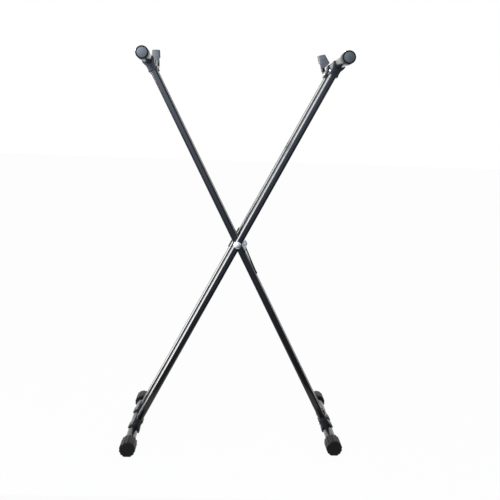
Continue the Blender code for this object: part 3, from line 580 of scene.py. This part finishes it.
def leg_outline(width, depth, height, corner, segments):
    """Starts a drawing with a leg's rounded rectangle, selected all over."""
    deselect()
    bpy.ops.mesh.primitive_plane_add(size=1)
    edit_all()
    bpy.ops.transform.resize(value=(width, depth, 1))
    bpy.ops.transform.translate(value=(0, 0, height))
    bpy.ops.mesh.bevel(affect="VERTICES", offset=corner, segments=segments)
    bpy.ops.mesh.select_all(action="SELECT")


def leg_tube(width, depth, low, high):
    """Rounded rectangular tube along Z with an open bore."""
    leg_outline(width, depth, low, sizes().leg_corner, 8)
    bpy.ops.mesh.inset(thickness=sizes().wall)
    bpy.ops.mesh.delete(type="FACE")
    bpy.ops.mesh.select_all(action="SELECT")
    extrude_by((0, 0, high - low))
    return finished_drawing()


TUBE_EDGE = 0.4 * MM


class STAND_OT_tubes(bpy.types.Operator):
    """Make the base bars and the arms as round tubes."""

    bl_idname = "stand.tubes"
    bl_label = "Bars and arms"

    def execute(self, context):
        for side in FRAMES:
            for part in ("base_bar", "arm"):
                node = f"{side}_{part}"
                size = box_size(node)
                radius = size.x / 2
                end = size.y / 2
                tube = ring(radius, radius - sizes().wall, -end, end, TUBE_EDGE, ROUND_SIDES)
                complete(tube, node, moved(*centre(node)) @ TO_Y)
        return {"FINISHED"}


def arc(middle, radius, first, last, steps):
    """Points on a round stretch of a profile, from one angle in degrees to another."""
    points = []
    for step in range(steps + 1):
        angle = math.radians(first + (last - first) * step / steps)
        points.append((middle[0] + radius * math.cos(angle), middle[1] + radius * math.sin(angle)))
    return points


CAP_GROOVE = 0.5 * MM
CAP_EDGE = 0.5 * MM
CAP_RIM_PROUD = 0.2 * MM
RIM_MARK_DEPTH = 0.6
RIM_MARK_REACH = 0.1 * MM


def arm_cap_profile(radius, bore, height):
    """Domed face at height 0, a fine groove, a round rim, and the sleeve's open end."""
    rim = sizes().cap_rim
    rise = sizes().cap_dome
    disc = radius - rim
    steps = 8
    shares = [step / steps for step in range(steps + 1)]
    face = [(disc * out, rise * out * out) for out in shares]
    edge = arc((radius - rim / 2, rise + rim / 2 - CAP_RIM_PROUD), rim / 2, 180, 360, 12)
    wall = [(radius, height - CAP_EDGE), (radius - CAP_EDGE, height), (bore, height)]
    floor = [(bore, sizes().cap_face), (0, sizes().cap_face)]
    return face + [(disc, rise + CAP_GROOVE)] + edge + wall + floor


class STAND_OT_arm_caps(bpy.types.Operator):
    """Make the smooth caps on the arms' front ends."""

    bl_idname = "stand.arm_caps"
    bl_label = "Arm caps"

    def mark_rim(self, cap, radius):
        """Marks the points of the round rim, which the finish makes darker."""
        disc = radius - sizes().cap_rim
        depth = sizes().cap_dome + sizes().cap_rim * RIM_MARK_DEPTH
        inside = disc - RIM_MARK_REACH
        points = [vertex.co for vertex in cap.data.vertices]
        marks = [float(math.hypot(at.x, at.y) > inside and at.z < depth) for at in points]
        cap.data.attributes.new(RIM, "FLOAT", "POINT").data.foreach_set("value", marks)

    def execute(self, context):
        for side in FRAMES:
            node = side + "_arm_cap"
            size = box_size(node)
            bore = box_size(side + "_arm").x / 2 + GAP
            cap = turned(arm_cap_profile(size.x / 2, bore, size.y))
            self.mark_rim(cap, size.x / 2)
            at = centre(node) - Vector((0, size.y / 2, 0))
            complete(cap, node, moved(*at) @ TO_Y)
        return {"FINISHED"}


RIB_ROUNDNESS = 1.5
FACE_GROOVE = {"middle": 9.5 * MM, "half": 0.9 * MM, "floor_half": 0.7 * MM, "depth": 0.7 * MM}
FACE_DIMPLE = {"radius": 2.6 * MM, "floor": 2.2 * MM, "depth": 0.8 * MM, "middle": 1 * MM}
CUT_PROUD = 1 * MM


def fluted_plug(radius, flat, length_along):
    """Solid round plug along Z with ribs, flat on its +Y side, and rounded ends."""
    phases = 8
    ribs = sizes().foot_ribs
    edge = sizes().foot_edge
    deselect()
    bpy.ops.mesh.primitive_circle_add(vertices=ribs * phases, radius=radius, fill_type="NOTHING")
    outline = bpy.context.object
    for phase in range(phases):
        wave = 0.5 - 0.5 * math.cos(2 * math.pi * phase / phases)
        groove = sizes().foot_rib_depth * wave**RIB_ROUNDNESS
        select_points(outline, [index % phases == phase for index in range(ribs * phases)])
        bpy.ops.transform.resize(value=(1 - groove / radius,) * 3, center_override=(0, 0, 0))
    bpy.ops.object.mode_set(mode="OBJECT")
    select_points(outline, [vertex.co.y > flat for vertex in outline.data.vertices])
    bpy.ops.transform.resize(value=(1, 0, 1), center_override=(0, flat, 0))
    bpy.ops.mesh.select_all(action="SELECT")
    rounding = arc((edge, edge), edge, -90, -180, 4)
    rounding += [(cut_in, length_along - height) for cut_in, height in reversed(rounding)]
    width, reached = 1.0, 0.0
    for cut_in, height in rounding:
        wanted = 1 - cut_in / radius
        if height > reached:
            extrude_by((0, 0, height - reached))
        factor = wanted / width
        bpy.ops.transform.resize(value=(factor, factor, 1), center_override=(0, 0, 0))
        width, reached = wanted, height
    return closed_drawing()


def select_points(thing, wanted):
    """Goes into edit mode with only the wanted vertices selected."""
    if bpy.context.object.mode != "OBJECT":
        bpy.ops.object.mode_set(mode="OBJECT")
    choose(thing)
    bpy.ops.object.mode_set(mode="EDIT")
    bpy.ops.mesh.select_mode(type="VERT")
    bpy.ops.mesh.select_all(action="DESELECT")
    bpy.ops.object.mode_set(mode="OBJECT")
    for vertex, chosen in zip(thing.data.vertices, wanted):
        vertex.select = chosen
    bpy.ops.object.mode_set(mode="EDIT")


class STAND_OT_foot_caps(bpy.types.Operator):
    """Make the ribbed rubber caps on the base bars' ends."""

    bl_idname = "stand.foot_caps"
    bl_label = "Foot caps"

    def execute(self, context):
        for side in FRAMES:
            bar = centre(side + "_base_bar")
            size = box_size(side + "_front_foot_cap")
            master = fluted_plug(size.z - bar.z, bar.z, size.y)
            carve_foot(master, box_size(side + "_base_bar").x / 2 + GAP, size.y)
            for place, facing in (("front", 1), ("rear", -1)):
                node = f"{side}_{place}_foot_cap"
                low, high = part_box(node)
                end = low.y if facing == 1 else high.y
                turn = Matrix.Rotation(0 if facing == 1 else math.pi, 4, "Z")
                at = moved(bar.x, end, bar.z) @ turn @ TO_Y
                complete(copy_of(master), node, at, degrees=40)
            bpy.data.objects.remove(master, do_unlink=True)
        return {"FINISHED"}


def carve_foot(plug, bore, length_along):
    """Opens a foot cap for its bar, and sinks a ring and a centre dimple in its face."""
    depth = length_along - sizes().foot_face
    drill(plug, bore, depth, moved(0, 0, length_along))
    middle, half, floor_half, sunk = FACE_GROOVE.values()
    groove = [(middle - half, -CUT_PROUD), (middle + half, -CUT_PROUD)]
    groove += [(middle + floor_half, sunk), (middle - floor_half, sunk)]
    carve(plug, turned(groove, closed=True))
    radius, floor, sunk, deepest = FACE_DIMPLE.values()
    dimple = [(0, -CUT_PROUD), (radius, -CUT_PROUD), (floor, sunk), (0, deepest)]
    carve(plug, turned(dimple, SMALL_SIDES))


COLLAR_PIN = 1.2


def collar_outline(horn, sleeve, reach):
    """Side of a collar from horn to lip and back, as (x, distance from the bar's axis)."""
    values = sizes()
    half = [(horn, 0), (horn, values.collar_shoulder)]
    steps = 8
    for step in range(1, steps):
        along = step / steps
        ease = along * along * (3 - 2 * along)
        height = values.collar_shoulder + (values.collar_neck - values.collar_shoulder) * along
        half.append((horn + (sleeve - horn) * ease, height))
    lip = sleeve + values.collar_lip
    half += [
        (sleeve, values.collar_neck),
        (sleeve, reach - values.collar_lip_length),
        (lip, reach - values.collar_lip_length),
        (lip, reach),
    ]
    return half + [(-x, height) for x, height in reversed(half)]


class STAND_OT_collars(bpy.types.Operator):
    """Make the moulded collars that join the legs to the bars and arms."""

    bl_idname = "stand.collars"
    bl_label = "Collars"

    def execute(self, context):
        for side in FRAMES:
            axes = leaned(side)
            for end, tube in (("top", "_arm"), ("base", "_base_bar")):
                axis = (axes.inverted() @ centre(side + tube)).z
                for place in PLACES:
                    self.make(side, end, place, axes, axis)
        return {"FINISHED"}

    def make(self, side, end, place, axes, axis):
        node = f"{side}_{end}_{place}_collar"
        low, high = box_in(node, axes)
        leg_low, leg_high = box_in(f"{side}_{place}_leg", axes)
        leg_width = leg_high.x - leg_low.x
        sleeve = leg_width / 2 + sizes().collar_wall
        reach = max(abs(low.z - axis), abs(high.z - axis))
        flip = -1 if end == "top" else 1
        outline = collar_outline((high.x - low.x) / 2, sleeve, reach)
        collar = plate([(x, flip * height) for x, height in outline], high.y - low.y)
        soften(collar, sizes().collar_edge, 3, 50)
        pin = leg_pin(leg_width + 2 * GAP, leg_high.y - leg_low.y + 2 * GAP, reach * COLLAR_PIN)
        pin.location = (0, 0, flip * reach * COLLAR_PIN / 2)
        carve(collar, pin)
        drill(collar, box_size(side + "_arm").x / 2 + GAP, CUT_REACH, TO_Y)
        y = (low.y + high.y) / 2
        complete(collar, node, axes @ moved(0, y, axis), degrees=30)


def leg_pin(width, depth, height):
    """Solid in the shape of a leg, to open a collar."""
    leg_outline(width, depth, -height / 2, sizes().leg_corner + GAP, 6)
    extrude_by((0, 0, height))
    return finished_drawing()


ABOVE_BEND = 1.4
BEND_STEPS = 20
PLUG_EDGE = 0.3 * MM
PLUG_ROUND = 1.6 * MM


def stem_of(side):
    """Middle of a stop rod's top ring, which shows the stop's tilt."""
    axis = centre(side + "_arm")
    above = axis.z + sizes().stop_bend * ABOVE_BEND
    return middle_of([v.co for v in NODES[side + "_stop_rod"].data.vertices if v.co.z > above])


def stop_axes(side):
    """Axes on the arm's axis with Z along the stop's stem."""
    axis = centre(side + "_arm")
    top = stem_of(side)
    turn = math.atan2(top.x - axis.x, top.z - axis.z)
    return moved(axis.x, 0, axis.z) @ Matrix.Rotation(turn, 4, "Y")


class STAND_OT_stop_rods(bpy.types.Operator):
    """Make the bent rods of the stops and the plugs that hold them in the arms."""

    bl_idname = "stand.stop_rods"
    bl_label = "Stop rods and plugs"

    def execute(self, context):
        for side in FRAMES:
            node = side + "_stop_rod"
            axes = stop_axes(side)
            low, high = box_in(node, axes)
            rod = bent_rod((high.x - low.x) / 2, low.y, high)
            complete(rod, node, axes)
            self.plug(side)
        return {"FINISHED"}

    def plug(self, side):
        node = side + "_arm_plug"
        size = box_size(node)
        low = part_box(node)[0]
        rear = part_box(side + "_arm")[1].y
        flange = size.x / 2
        rod_low, rod_high = box_in(side + "_stop_rod", stop_axes(side))
        bore = (rod_high.x - rod_low.x) / 2 + GAP
        body = flange - sizes().wall - GAP
        seat = rear + GAP - low.y
        profile = [(bore, 0), (body, 0), (body, seat)]
        profile += [(flange - PLUG_EDGE, seat), (flange, seat + PLUG_EDGE)]
        profile += arc((flange - PLUG_ROUND, size.y - PLUG_ROUND), PLUG_ROUND, 0, 90, 6)
        profile.append((bore, size.y))
        plug = turned(profile, closed=True)
        at = moved(centre(node).x, low.y, centre(node).z) @ TO_Y
        complete(plug, node, at)


def bent_rod(radius, start, high):
    """Rod along Y from start, bent up through a quarter turn to the highest corner's height."""
    bend = sizes().stop_bend
    bend_start = high.y - radius - bend
    deselect()
    bpy.ops.mesh.primitive_circle_add(vertices=SMALL_SIDES, radius=radius, fill_type="NOTHING")
    edit_all()
    bpy.ops.transform.rotate(value=math.pi / 2, orient_axis="X", center_override=(0, 0, 0))
    bpy.ops.transform.translate(value=(0, start, 0))
    extrude_by((0, bend_start - start, 0))
    middle = (0, bend_start, bend)
    bpy.ops.mesh.spin(steps=BEND_STEPS, angle=-math.pi / 2, center=middle, axis=(1, 0, 0))
    extrude_by((0, 0, high.z - bend))
    return closed_drawing()


PADDLE_SHAPES = {
    "outer": {"flare": 21 * MM, "flare_height": 28 * MM, "sign": 1},
    "inner": {"flare": 14.5 * MM, "flare_height": 40 * MM, "sign": -1},
}
PADDLE_BACK = 6.4 * MM
PADDLE_REACH = 13.4 * MM
PADDLE_BOTTOM = 16 * MM
PADDLE_BELLY = 0.35
PADDLE_RISE = 2 * MM
PADDLE_TIP = (1 * MM, 1.5 * MM)
BOSS_LENGTH = 22 * MM
BOSS_EDGE = 0.8 * MM
BOSS_ROUND = 2 * MM


def paddle_outline(side, top):
    """Pad's face beside the stem, flared away from the stand's middle, as (x, z) pairs."""
    shape = PADDLE_SHAPES[side]
    flare, height, sign = shape["flare"], shape["flare_height"], shape["sign"]
    corner = sizes().paddle_corner
    outline = [(-PADDLE_BACK, PADDLE_BOTTOM), (flare * PADDLE_BELLY, PADDLE_BOTTOM + PADDLE_RISE)]
    outline += [(flare - PADDLE_TIP[0], height - PADDLE_TIP[1]), (flare, height)]
    outline += arc((PADDLE_REACH - corner, top - corner), corner, 0, 90, 5)
    outline += arc((corner - PADDLE_BACK, top - corner), corner, 90, 180, 5)
    return [(sign * x, z) for x, z in outline]


class STAND_OT_paddles(bpy.types.Operator):
    """Make the rubber paddles that cover the stops."""

    bl_idname = "stand.paddles"
    bl_label = "Stop paddles"

    def execute(self, context):
        for side in FRAMES:
            node = side + "_stop_paddle"
            axes = stop_axes(side)
            low, high = box_in(node, axes)
            rod_low, rod_high = box_in(side + "_stop_rod", axes)
            rod = (rod_high.x - rod_low.x) / 2
            stem = rod_high.y - rod
            thickness = sizes().paddle_thickness
            pad = plate(paddle_outline(side, high.z), thickness)
            soften(pad, sizes().paddle_edge, 3, 40)
            settle(pad, moved(0, low.y + thickness / 2, 0))
            socket = high.y - stem
            foot = high.z - BOSS_LENGTH
            boss = [(0, foot), (socket - BOSS_EDGE, foot), (socket, foot + BOSS_EDGE)]
            boss += arc((socket - BOSS_ROUND, high.z - BOSS_ROUND), BOSS_ROUND, 0, 90, 6)
            sleeve = turned(boss + [(0, high.z)], SMALL_SIDES)
            settle(sleeve, moved(0, stem, 0))
            carve(pad, sleeve, "UNION")
            drill(pad, rod + GAP, rod_high.z + GAP, moved(0, stem, 0))
            complete(pad, node, axes, degrees=30)
        return {"FINISHED"}


SCREW_POINT = 0.6
SCREW_TAPER = 0.5
HEAD_SIDE = 0.35
HEAD_ANGLES = (0.4, 0.75, 1.1, 1.35)
RECESS_LENGTH = 1.1
RECESS_WIDTH = 0.24


def pan_screw(reach):
    """Pan head screw along Z with a cross recess, its seat at height 0 and its point at -reach."""
    head, height, shank = sizes().screw_head, sizes().screw_height, sizes().screw_shank
    profile = [(0, -reach), (shank * SCREW_POINT, -reach), (shank, -reach + shank * SCREW_TAPER)]
    profile += [(shank, 0), (head, 0), (head, height * HEAD_SIDE)]
    for angle in HEAD_ANGLES:
        rise = HEAD_SIDE + (1 - HEAD_SIDE) * math.sin(angle)
        profile.append((head * math.cos(angle), height * rise))
    profile.append((0, height))
    screw = turned(profile, SMALL_SIDES)
    for turn in (0, math.pi / 2):
        deselect()
        bpy.ops.mesh.primitive_cube_add(size=1)
        slot = bpy.context.object
        size = Matrix.Diagonal((head * RECESS_LENGTH, head * RECESS_WIDTH, height, 1))
        settle(slot, moved(0, 0, height) @ Matrix.Rotation(turn, 4, "Z") @ size)
        carve(screw, slot)
    return screw


class STAND_OT_screws(bpy.types.Operator):
    """Make the pan head screws of the collars, the arm caps and the bracket."""

    bl_idname = "stand.screws"
    bl_label = "Screws"

    def execute(self, context):
        for side in FRAMES:
            axes = leaned(side)
            for end in ("top", "base"):
                for place in PLACES:
                    self.sideways(f"{side}_{end}_{place}_screw", axes)
            self.cap_screw(side)
        for place in PLACES:
            self.sideways(f"bracket_{place}_screw", leaned("inner"))
        return {"FINISHED"}

    def sideways(self, node, axes):
        """Screw across a leg, with its head on the leg's outer side."""
        low, high = box_in(node, axes)
        height = sizes().screw_height
        facing = 1 if abs(high.x) > abs(low.x) else -1
        seat = high.x - height if facing == 1 else low.x + height
        screw = pan_screw(high.x - low.x - height)
        turn = Matrix.Rotation(facing * math.pi / 2, 4, "Y")
        at = moved(seat, (low.y + high.y) / 2, (low.z + high.z) / 2)
        complete(screw, node, axes @ at @ turn)

    def cap_screw(self, side):
        """Screw through an arm's cap, pointing at the arm's axis."""
        node = side + "_arm_cap_screw"
        axis = centre(side + "_arm")
        middle = middle_of([vertex.co for vertex in NODES[node].data.vertices])
        turn = math.atan2(middle.x - axis.x, middle.z - axis.z)
        axes = moved(axis.x, middle.y, axis.z) @ Matrix.Rotation(turn, 4, "Y")
        low, high = box_in(node, axes)
        height = sizes().screw_height
        screw = pan_screw(high.z - low.z - height)
        complete(screw, node, axes @ moved(0, 0, high.z - height))


def along_y(node):
    """Matrix that stands a turned piece along Y at a node's lower end."""
    low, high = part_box(node)
    return moved(PIVOT.x, low.y, PIVOT.z) @ TO_Y


WASHER_EDGE = 0.3 * MM
BUSH_EDGE = 0.2 * MM
SADDLE_EDGE = 0.5 * MM
BOLT_RING = ((0, 0), (0.3, 0), (0.36, 0.12 * MM), (0.42, 0.1 * MM))
BOLT_DOME = 65
BOLT_SIDE = 0.6 * MM
BOLT_END = 1 * MM
THREAD_DEPTH = 0.7 * MM
NUT_ACROSS = 15 * MM
NUT_CHAMFER = 0.6 * MM


class STAND_OT_pivot(bpy.types.Operator):
    """Make the pivot's bolt, nut, washers, spacers, bushes and saddle."""

    bl_idname = "stand.pivot"
    bl_label = "Pivot"

    def execute(self, context):
        self.bolt()
        self.nut()
        self.washer("pivot_washer", WASHER_EDGE)
        for part in ("gap_washer", "pivot_spacer"):
            for place in PLACES:
                self.washer(f"{place}_{part}", WASHER_EDGE)
        for place in PLACES:
            self.washer(f"inner_{place}_bush", BUSH_EDGE)
        saddle = merged_copy("pivot_saddle")
        soften(saddle, SADDLE_EDGE, 2, 50)
        complete(saddle, "pivot_saddle", Matrix.Identity(4))
        return {"FINISHED"}

    def washer(self, node, edge):
        """Round washer, spacer or bush with a loose bore for the bolt."""
        size = box_size(node)
        made = ring(size.x / 2, sizes().bolt_radius + GAP, 0, size.y, edge)
        complete(made, node, along_y(node))

    def bolt(self):
        """Domed bolt with a shallow ring on its head, and a thread where it leaves the nut."""
        low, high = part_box("pivot_bolt")
        head = box_size("pivot_bolt").x / 2
        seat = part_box("outer_front_leg")[0].y - GAP - low.y
        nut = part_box("pivot_nut")[0].y - low.y
        radius = sizes().bolt_radius
        profile = [(head * share_out, height) for share_out, height in BOLT_RING]
        side = seat - BOLT_SIDE
        steps = 8
        for step in range(1, steps + 1):
            angle = math.radians(BOLT_DOME * (1 - step / steps))
            profile.append((head * math.cos(angle), side - side * math.sin(angle)))
        profile += [(head, seat), (radius, seat)]
        end = high.y - low.y
        pitch = sizes().thread_pitch
        for turn in range(int((end - nut - BOLT_END) / pitch)):
            along = nut + turn * pitch
            profile += [(radius, along), (radius - THREAD_DEPTH, along + pitch / 2)]
        profile += [(radius, end - BOLT_END), (radius - BOLT_END, end), (0, end)]
        complete(turned(profile, SMALL_SIDES), "pivot_bolt", along_y("pivot_bolt"))

    def nut(self):
        """Hexagon nut with both faces chamfered."""
        height = box_size("pivot_nut").y
        flat = NUT_ACROSS / 2
        corner = flat / math.cos(math.pi / 6)
        deselect()
        bpy.ops.mesh.primitive_cylinder_add(vertices=6, radius=corner, depth=height)
        nut = bpy.context.object
        settle(nut, moved(0, 0, height / 2))
        profile = [(0, 0), (flat, 0), (corner, NUT_CHAMFER)]
        profile += [(corner, height - NUT_CHAMFER), (flat, height), (0, height)]
        carve(nut, turned(profile), "INTERSECT")
        drill(nut, sizes().bolt_radius + GAP, 2 * height)
        complete(nut, "pivot_nut", along_y("pivot_nut") @ Matrix.Rotation(math.pi / 6, 4, "Z"))


LOCK_EDGES = {"lock_sector": 0.25 * MM, "lock_bracket": 0.5 * MM, "release_lever": 0.6 * MM}
PIN_RIM = 1.3 * MM
PIN_HEAD = 1.4 * MM
PIN_HEAD_EDGE = 0.6 * MM
PIN_END_EDGE = 0.5 * MM
SPRING_WIRE = 0.4 * MM
SPRING_TURNS = 3


class STAND_OT_lock(bpy.types.Operator):
    """Make the lock's toothed sector, bracket, lever, pin and spring."""

    bl_idname = "stand.lock"
    bl_label = "Lock"

    def execute(self, context):
        for node, edge in LOCK_EDGES.items():
            made = merged_copy(node)
            soften(made, edge, 2, 40)
            complete(made, node, Matrix.Identity(4))
        self.pin()
        self.spring()
        return {"FINISHED"}

    def pin(self):
        axes = leaned("inner")
        low, high = box_in("lever_pin", axes)
        head = (high.x - low.x) / 2
        radius = head - PIN_RIM
        end = high.y - low.y
        profile = [(0, 0), (head - PIN_HEAD_EDGE, 0), (head, PIN_HEAD_EDGE)]
        profile += [(head, PIN_HEAD), (radius, PIN_HEAD)]
        profile += [(radius, end - PIN_END_EDGE), (radius - PIN_END_EDGE, end), (0, end)]
        at = moved((low.x + high.x) / 2, low.y, (low.z + high.z) / 2)
        complete(turned(profile, SMALL_SIDES), "lever_pin", axes @ at @ TO_Y)

    def spring(self):
        """Close coil round the lever's pin, swept by a screw modifier."""
        axes = leaned("inner")
        low, high = box_in("return_spring", axes)
        radius = (high.x - low.x) / 2 - SPRING_WIRE
        deselect()
        bpy.ops.mesh.primitive_circle_add(vertices=12, radius=SPRING_WIRE, fill_type="NOTHING")
        coil = bpy.context.object
        settle(coil, moved(radius, 0, 0))
        sweep = coil.modifiers.new("sweep", "SCREW")
        sweep.axis = "Y"
        sweep.angle = 2 * math.pi
        sweep.screw_offset = (high.y - low.y - 2 * SPRING_WIRE) / SPRING_TURNS
        sweep.iterations = SPRING_TURNS
        sweep.steps = sweep.render_steps = 32
        finish_modifier(coil, sweep)
        bpy.ops.object.mode_set(mode="EDIT")
        closed_drawing()
        middle = (low + high) / 2
        at = moved(middle.x, low.y + SPRING_WIRE, middle.z)
        complete(coil, "return_spring", axes @ at)


# Studio

CAMERA_AT = Vector((-0.0367, -2.07505, 0.7584))
CAMERA_YAW = math.radians(-1.9782)
CAMERA_PITCH = math.radians(7.6796)
CAMERA_ROLL = math.radians(1.9209)
CAMERA_LENS = 57.6
SENSOR_WIDTH = 36
WHITE = (1, 1, 1, 1)
FLOOR_SIZE = 60
FLOOR_WHITE = 0.965
CARD_WIDTH = 4.4
CARD_TOP = 2.3
CARD_Y = -3.3
CARD_LOW = 0.5
CARD_RISE = 2.1
CARD_SLOPE = -0.8
CARD_LEAST = 0.2
CARD_BLUE = (0.68, 0.79, 1, 1)
SHEET_HEIGHT = 2 * MM
SHEET_FRONT = -3.25
SHEET_BACK = -0.45
SHEET_FADE = -0.6
SHEET_NEAR = (0.03, 0.03, 0.03, 1)
SHEET_FAR = (0.55, 0.58, 0.64, 1)
STRIP_AT = (-1.9, -0.7, 1.6)
STRIP_SIZE = (2.6, 2.5)
STRIP_GLOW = 26
WALL_AT = (2.7, -1.2, 1.5)
WALL_SIZE = (4, 3)
APRON_AT = (1.3, 0.2, SHEET_HEIGHT)
APRON_SIZE = (1.9, 1.3)
DARK_GLOW = 0.08
ROOM_LIGHT = 0.45
LAMPS = {"key_light": ((-2.3, -2.2, 2.5), 1.5, 30), "side_light": ((2.4, -0.8, 1.7), 1.2, 9)}
LAMP_AIM = Vector((0, 0, 0.5))


class STAND_OT_camera(bpy.types.Operator):
    """Set the camera where the photograph was taken from."""

    bl_idname = "stand.camera"
    bl_label = "Camera"

    def execute(self, context):
        deselect()
        bpy.ops.object.camera_add()
        camera = bpy.context.object
        camera.name = "photo_camera"
        turn = Matrix.Rotation(CAMERA_YAW, 4, "Z") @ Matrix.Rotation(math.pi / 2 - CAMERA_PITCH, 4, "X")
        camera.matrix_world = moved(*CAMERA_AT) @ turn @ Matrix.Rotation(CAMERA_ROLL, 4, "Z")
        camera.data.sensor_width = SENSOR_WIDTH
        camera.data.lens = CAMERA_LENS
        bpy.context.scene.camera = camera
        return {"FINISHED"}


def background_rays(finish):
    """1 for the rays that see the background: the camera's, and those off metal and through glass."""
    seen = 0
    for ray in ("Is Camera Ray", "Is Glossy Ray", "Is Transmission Ray"):
        seen = finish.sum("MAXIMUM", seen, finish.add("ShaderNodeLightPath", {}, {}, ray))
    return seen


class STAND_OT_stage(bpy.types.Operator):
    """Lay the pale floor and light the stand with plain soft studio light."""

    bl_idname = "stand.stage"
    bl_label = "Stage"

    def execute(self, context):
        bpy.context.scene.view_settings.view_transform = "Standard"
        self.floor()
        self.room()
        self.front_card()
        self.front_sheet()
        self.left_strip()
        self.right_cards()
        for name, (at, size, power) in LAMPS.items():
            self.lamp(name, at, size, power)
        return {"FINISHED"}

    def floor(self):
        deselect()
        bpy.ops.mesh.primitive_plane_add(size=FLOOR_SIZE)
        floor = bpy.context.object
        floor.name = "studio_floor"
        material = bpy.data.materials.new("studio_floor")
        finish = Finish(material)
        pale = finish.between(
            finish.noise(3, 3) * 0.15, tinted(colours().floor, 1), tinted(colours().floor, 0.96)
        )
        finish.shade(Base_Color=pale, Roughness=0.9, Specular_IOR_Level=0.1)
        finish.cover(background_rays(finish) * FLOOR_WHITE, finish.glow(WHITE, 1.0))
        floor.data.materials.append(material)

    def room(self):
        """White behind the stand, and a softer even light from all round."""
        world = bpy.data.worlds.new("studio_room")
        bpy.context.scene.world = world
        finish = Finish(world)
        strength = background_rays(finish) * (1 - ROOM_LIGHT) + ROOM_LIGHT
        finish.feed(finish.nodes["Background"].inputs["Color"], WHITE)
        finish.feed(finish.nodes["Background"].inputs["Strength"], strength)

    def card(self, name, at, turn, size, gloss_only=False):
        """Flat sheet that the camera doesn't see, with a material of its own."""
        deselect()
        bpy.ops.mesh.primitive_plane_add(size=1)
        card = bpy.context.object
        settle(card, moved(*at) @ turn @ Matrix.Diagonal((*size, 1, 1)))
        card.name = name
        material = bpy.data.materials.new(name)
        card.data.materials.append(material)
        card.visible_camera = False
        card.visible_diffuse = card.visible_shadow = not gloss_only
        return Finish(material)

    def front_card(self):
        """Glowing card behind the camera, brighter towards its top and left."""
        turn = Matrix.Rotation(-math.pi / 2, 4, "X")
        finish = self.card("front_card", (0, CARD_Y, CARD_TOP / 2), turn, (CARD_WIDTH, CARD_TOP))
        fading = finish.sum("MAXIMUM", finish.along("X") * CARD_SLOPE + 1, CARD_LEAST)
        strength = (finish.along("Z") * CARD_RISE + CARD_LOW) * fading
        finish.surface(finish.glow(CARD_BLUE, strength))

    def front_sheet(self):
        """Grey sheet on the floor, darker towards the stand, which keeps the low gloss dark."""
        at = (0, (SHEET_FRONT + SHEET_BACK) / 2, SHEET_HEIGHT)
        size = (CARD_WIDTH, SHEET_BACK - SHEET_FRONT)
        finish = self.card("front_sheet", at, Matrix.Identity(4), size)
        far = finish.limited(finish.along("Y"), SHEET_FADE, CARD_Y)
        finish.shade(Base_Color=finish.between(far, SHEET_NEAR, SHEET_FAR), Roughness=1)

    def left_strip(self):
        """Bright card on the left, seen only in gloss, for the long highlight on the legs' corners."""
        self.gloss_card("left_strip", STRIP_AT, SIDEWAYS, STRIP_SIZE, STRIP_GLOW)

    def right_cards(self):
        """Dark wall and floor sheet on the right, seen only in gloss, which keep the legs' right corners
        black: a painted dark reflection.
        """
        self.gloss_card("right_wall", WALL_AT, SIDEWAYS, WALL_SIZE, DARK_GLOW)
        self.gloss_card("right_apron", APRON_AT, Matrix.Identity(4), APRON_SIZE, DARK_GLOW)

    def gloss_card(self, name, at, turn, size, strength):
        """Even card that only the gloss shows."""
        finish = self.card(name, at, turn, size, gloss_only=True)
        finish.surface(finish.glow(WHITE, strength))

    def lamp(self, name, at, size, power):
        deselect()
        bpy.ops.object.light_add(type="AREA", location=at)
        lamp = bpy.context.object
        lamp.name = name
        lamp.data.size = size
        lamp.data.energy = power
        lamp.rotation_euler = (LAMP_AIM - Vector(at)).to_track_quat("-Z", "Y").to_euler()
        lamp.visible_camera = False


STEPS = (
    STAND_OT_camera,
    STAND_OT_finishes,
    STAND_OT_legs,
    STAND_OT_tubes,
    STAND_OT_arm_caps,
    STAND_OT_foot_caps,
    STAND_OT_collars,
    STAND_OT_stop_rods,
    STAND_OT_paddles,
    STAND_OT_screws,
    STAND_OT_pivot,
    STAND_OT_lock,
    STAND_OT_stage,
)


class STAND_PT_panel(bpy.types.Panel):
    """Lists the stand's steps, sizes and colours."""

    bl_label = "Double X stand"
    bl_idname = "STAND_PT_panel"
    bl_space_type = "VIEW_3D"
    bl_region_type = "UI"
    bl_category = "Stand"

    def draw(self, context):
        for step in STEPS:
            self.layout.operator(step.bl_idname)
        for group in (context.scene.stand_sizes, context.scene.stand_finishes):
            for name in group.bl_rna.properties.keys():
                if name not in ("rna_type", "name"):
                    self.layout.prop(group, name)


CLASSES = (StandSizes, StandFinishes, *STEPS, STAND_PT_panel)


def register():
    for cls in CLASSES:
        bpy.utils.register_class(cls)
    bpy.types.Scene.stand_sizes = bpy.props.PointerProperty(type=StandSizes)
    bpy.types.Scene.stand_finishes = bpy.props.PointerProperty(type=StandFinishes)


def unregister():
    del bpy.types.Scene.stand_finishes
    del bpy.types.Scene.stand_sizes
    for cls in reversed(CLASSES):
        bpy.utils.unregister_class(cls)


def main():
    register()
    for step in STEPS:
        group, name = step.bl_idname.split(".")
        getattr(getattr(bpy.ops, group), name)()


if __name__ == "__main__":
    main()
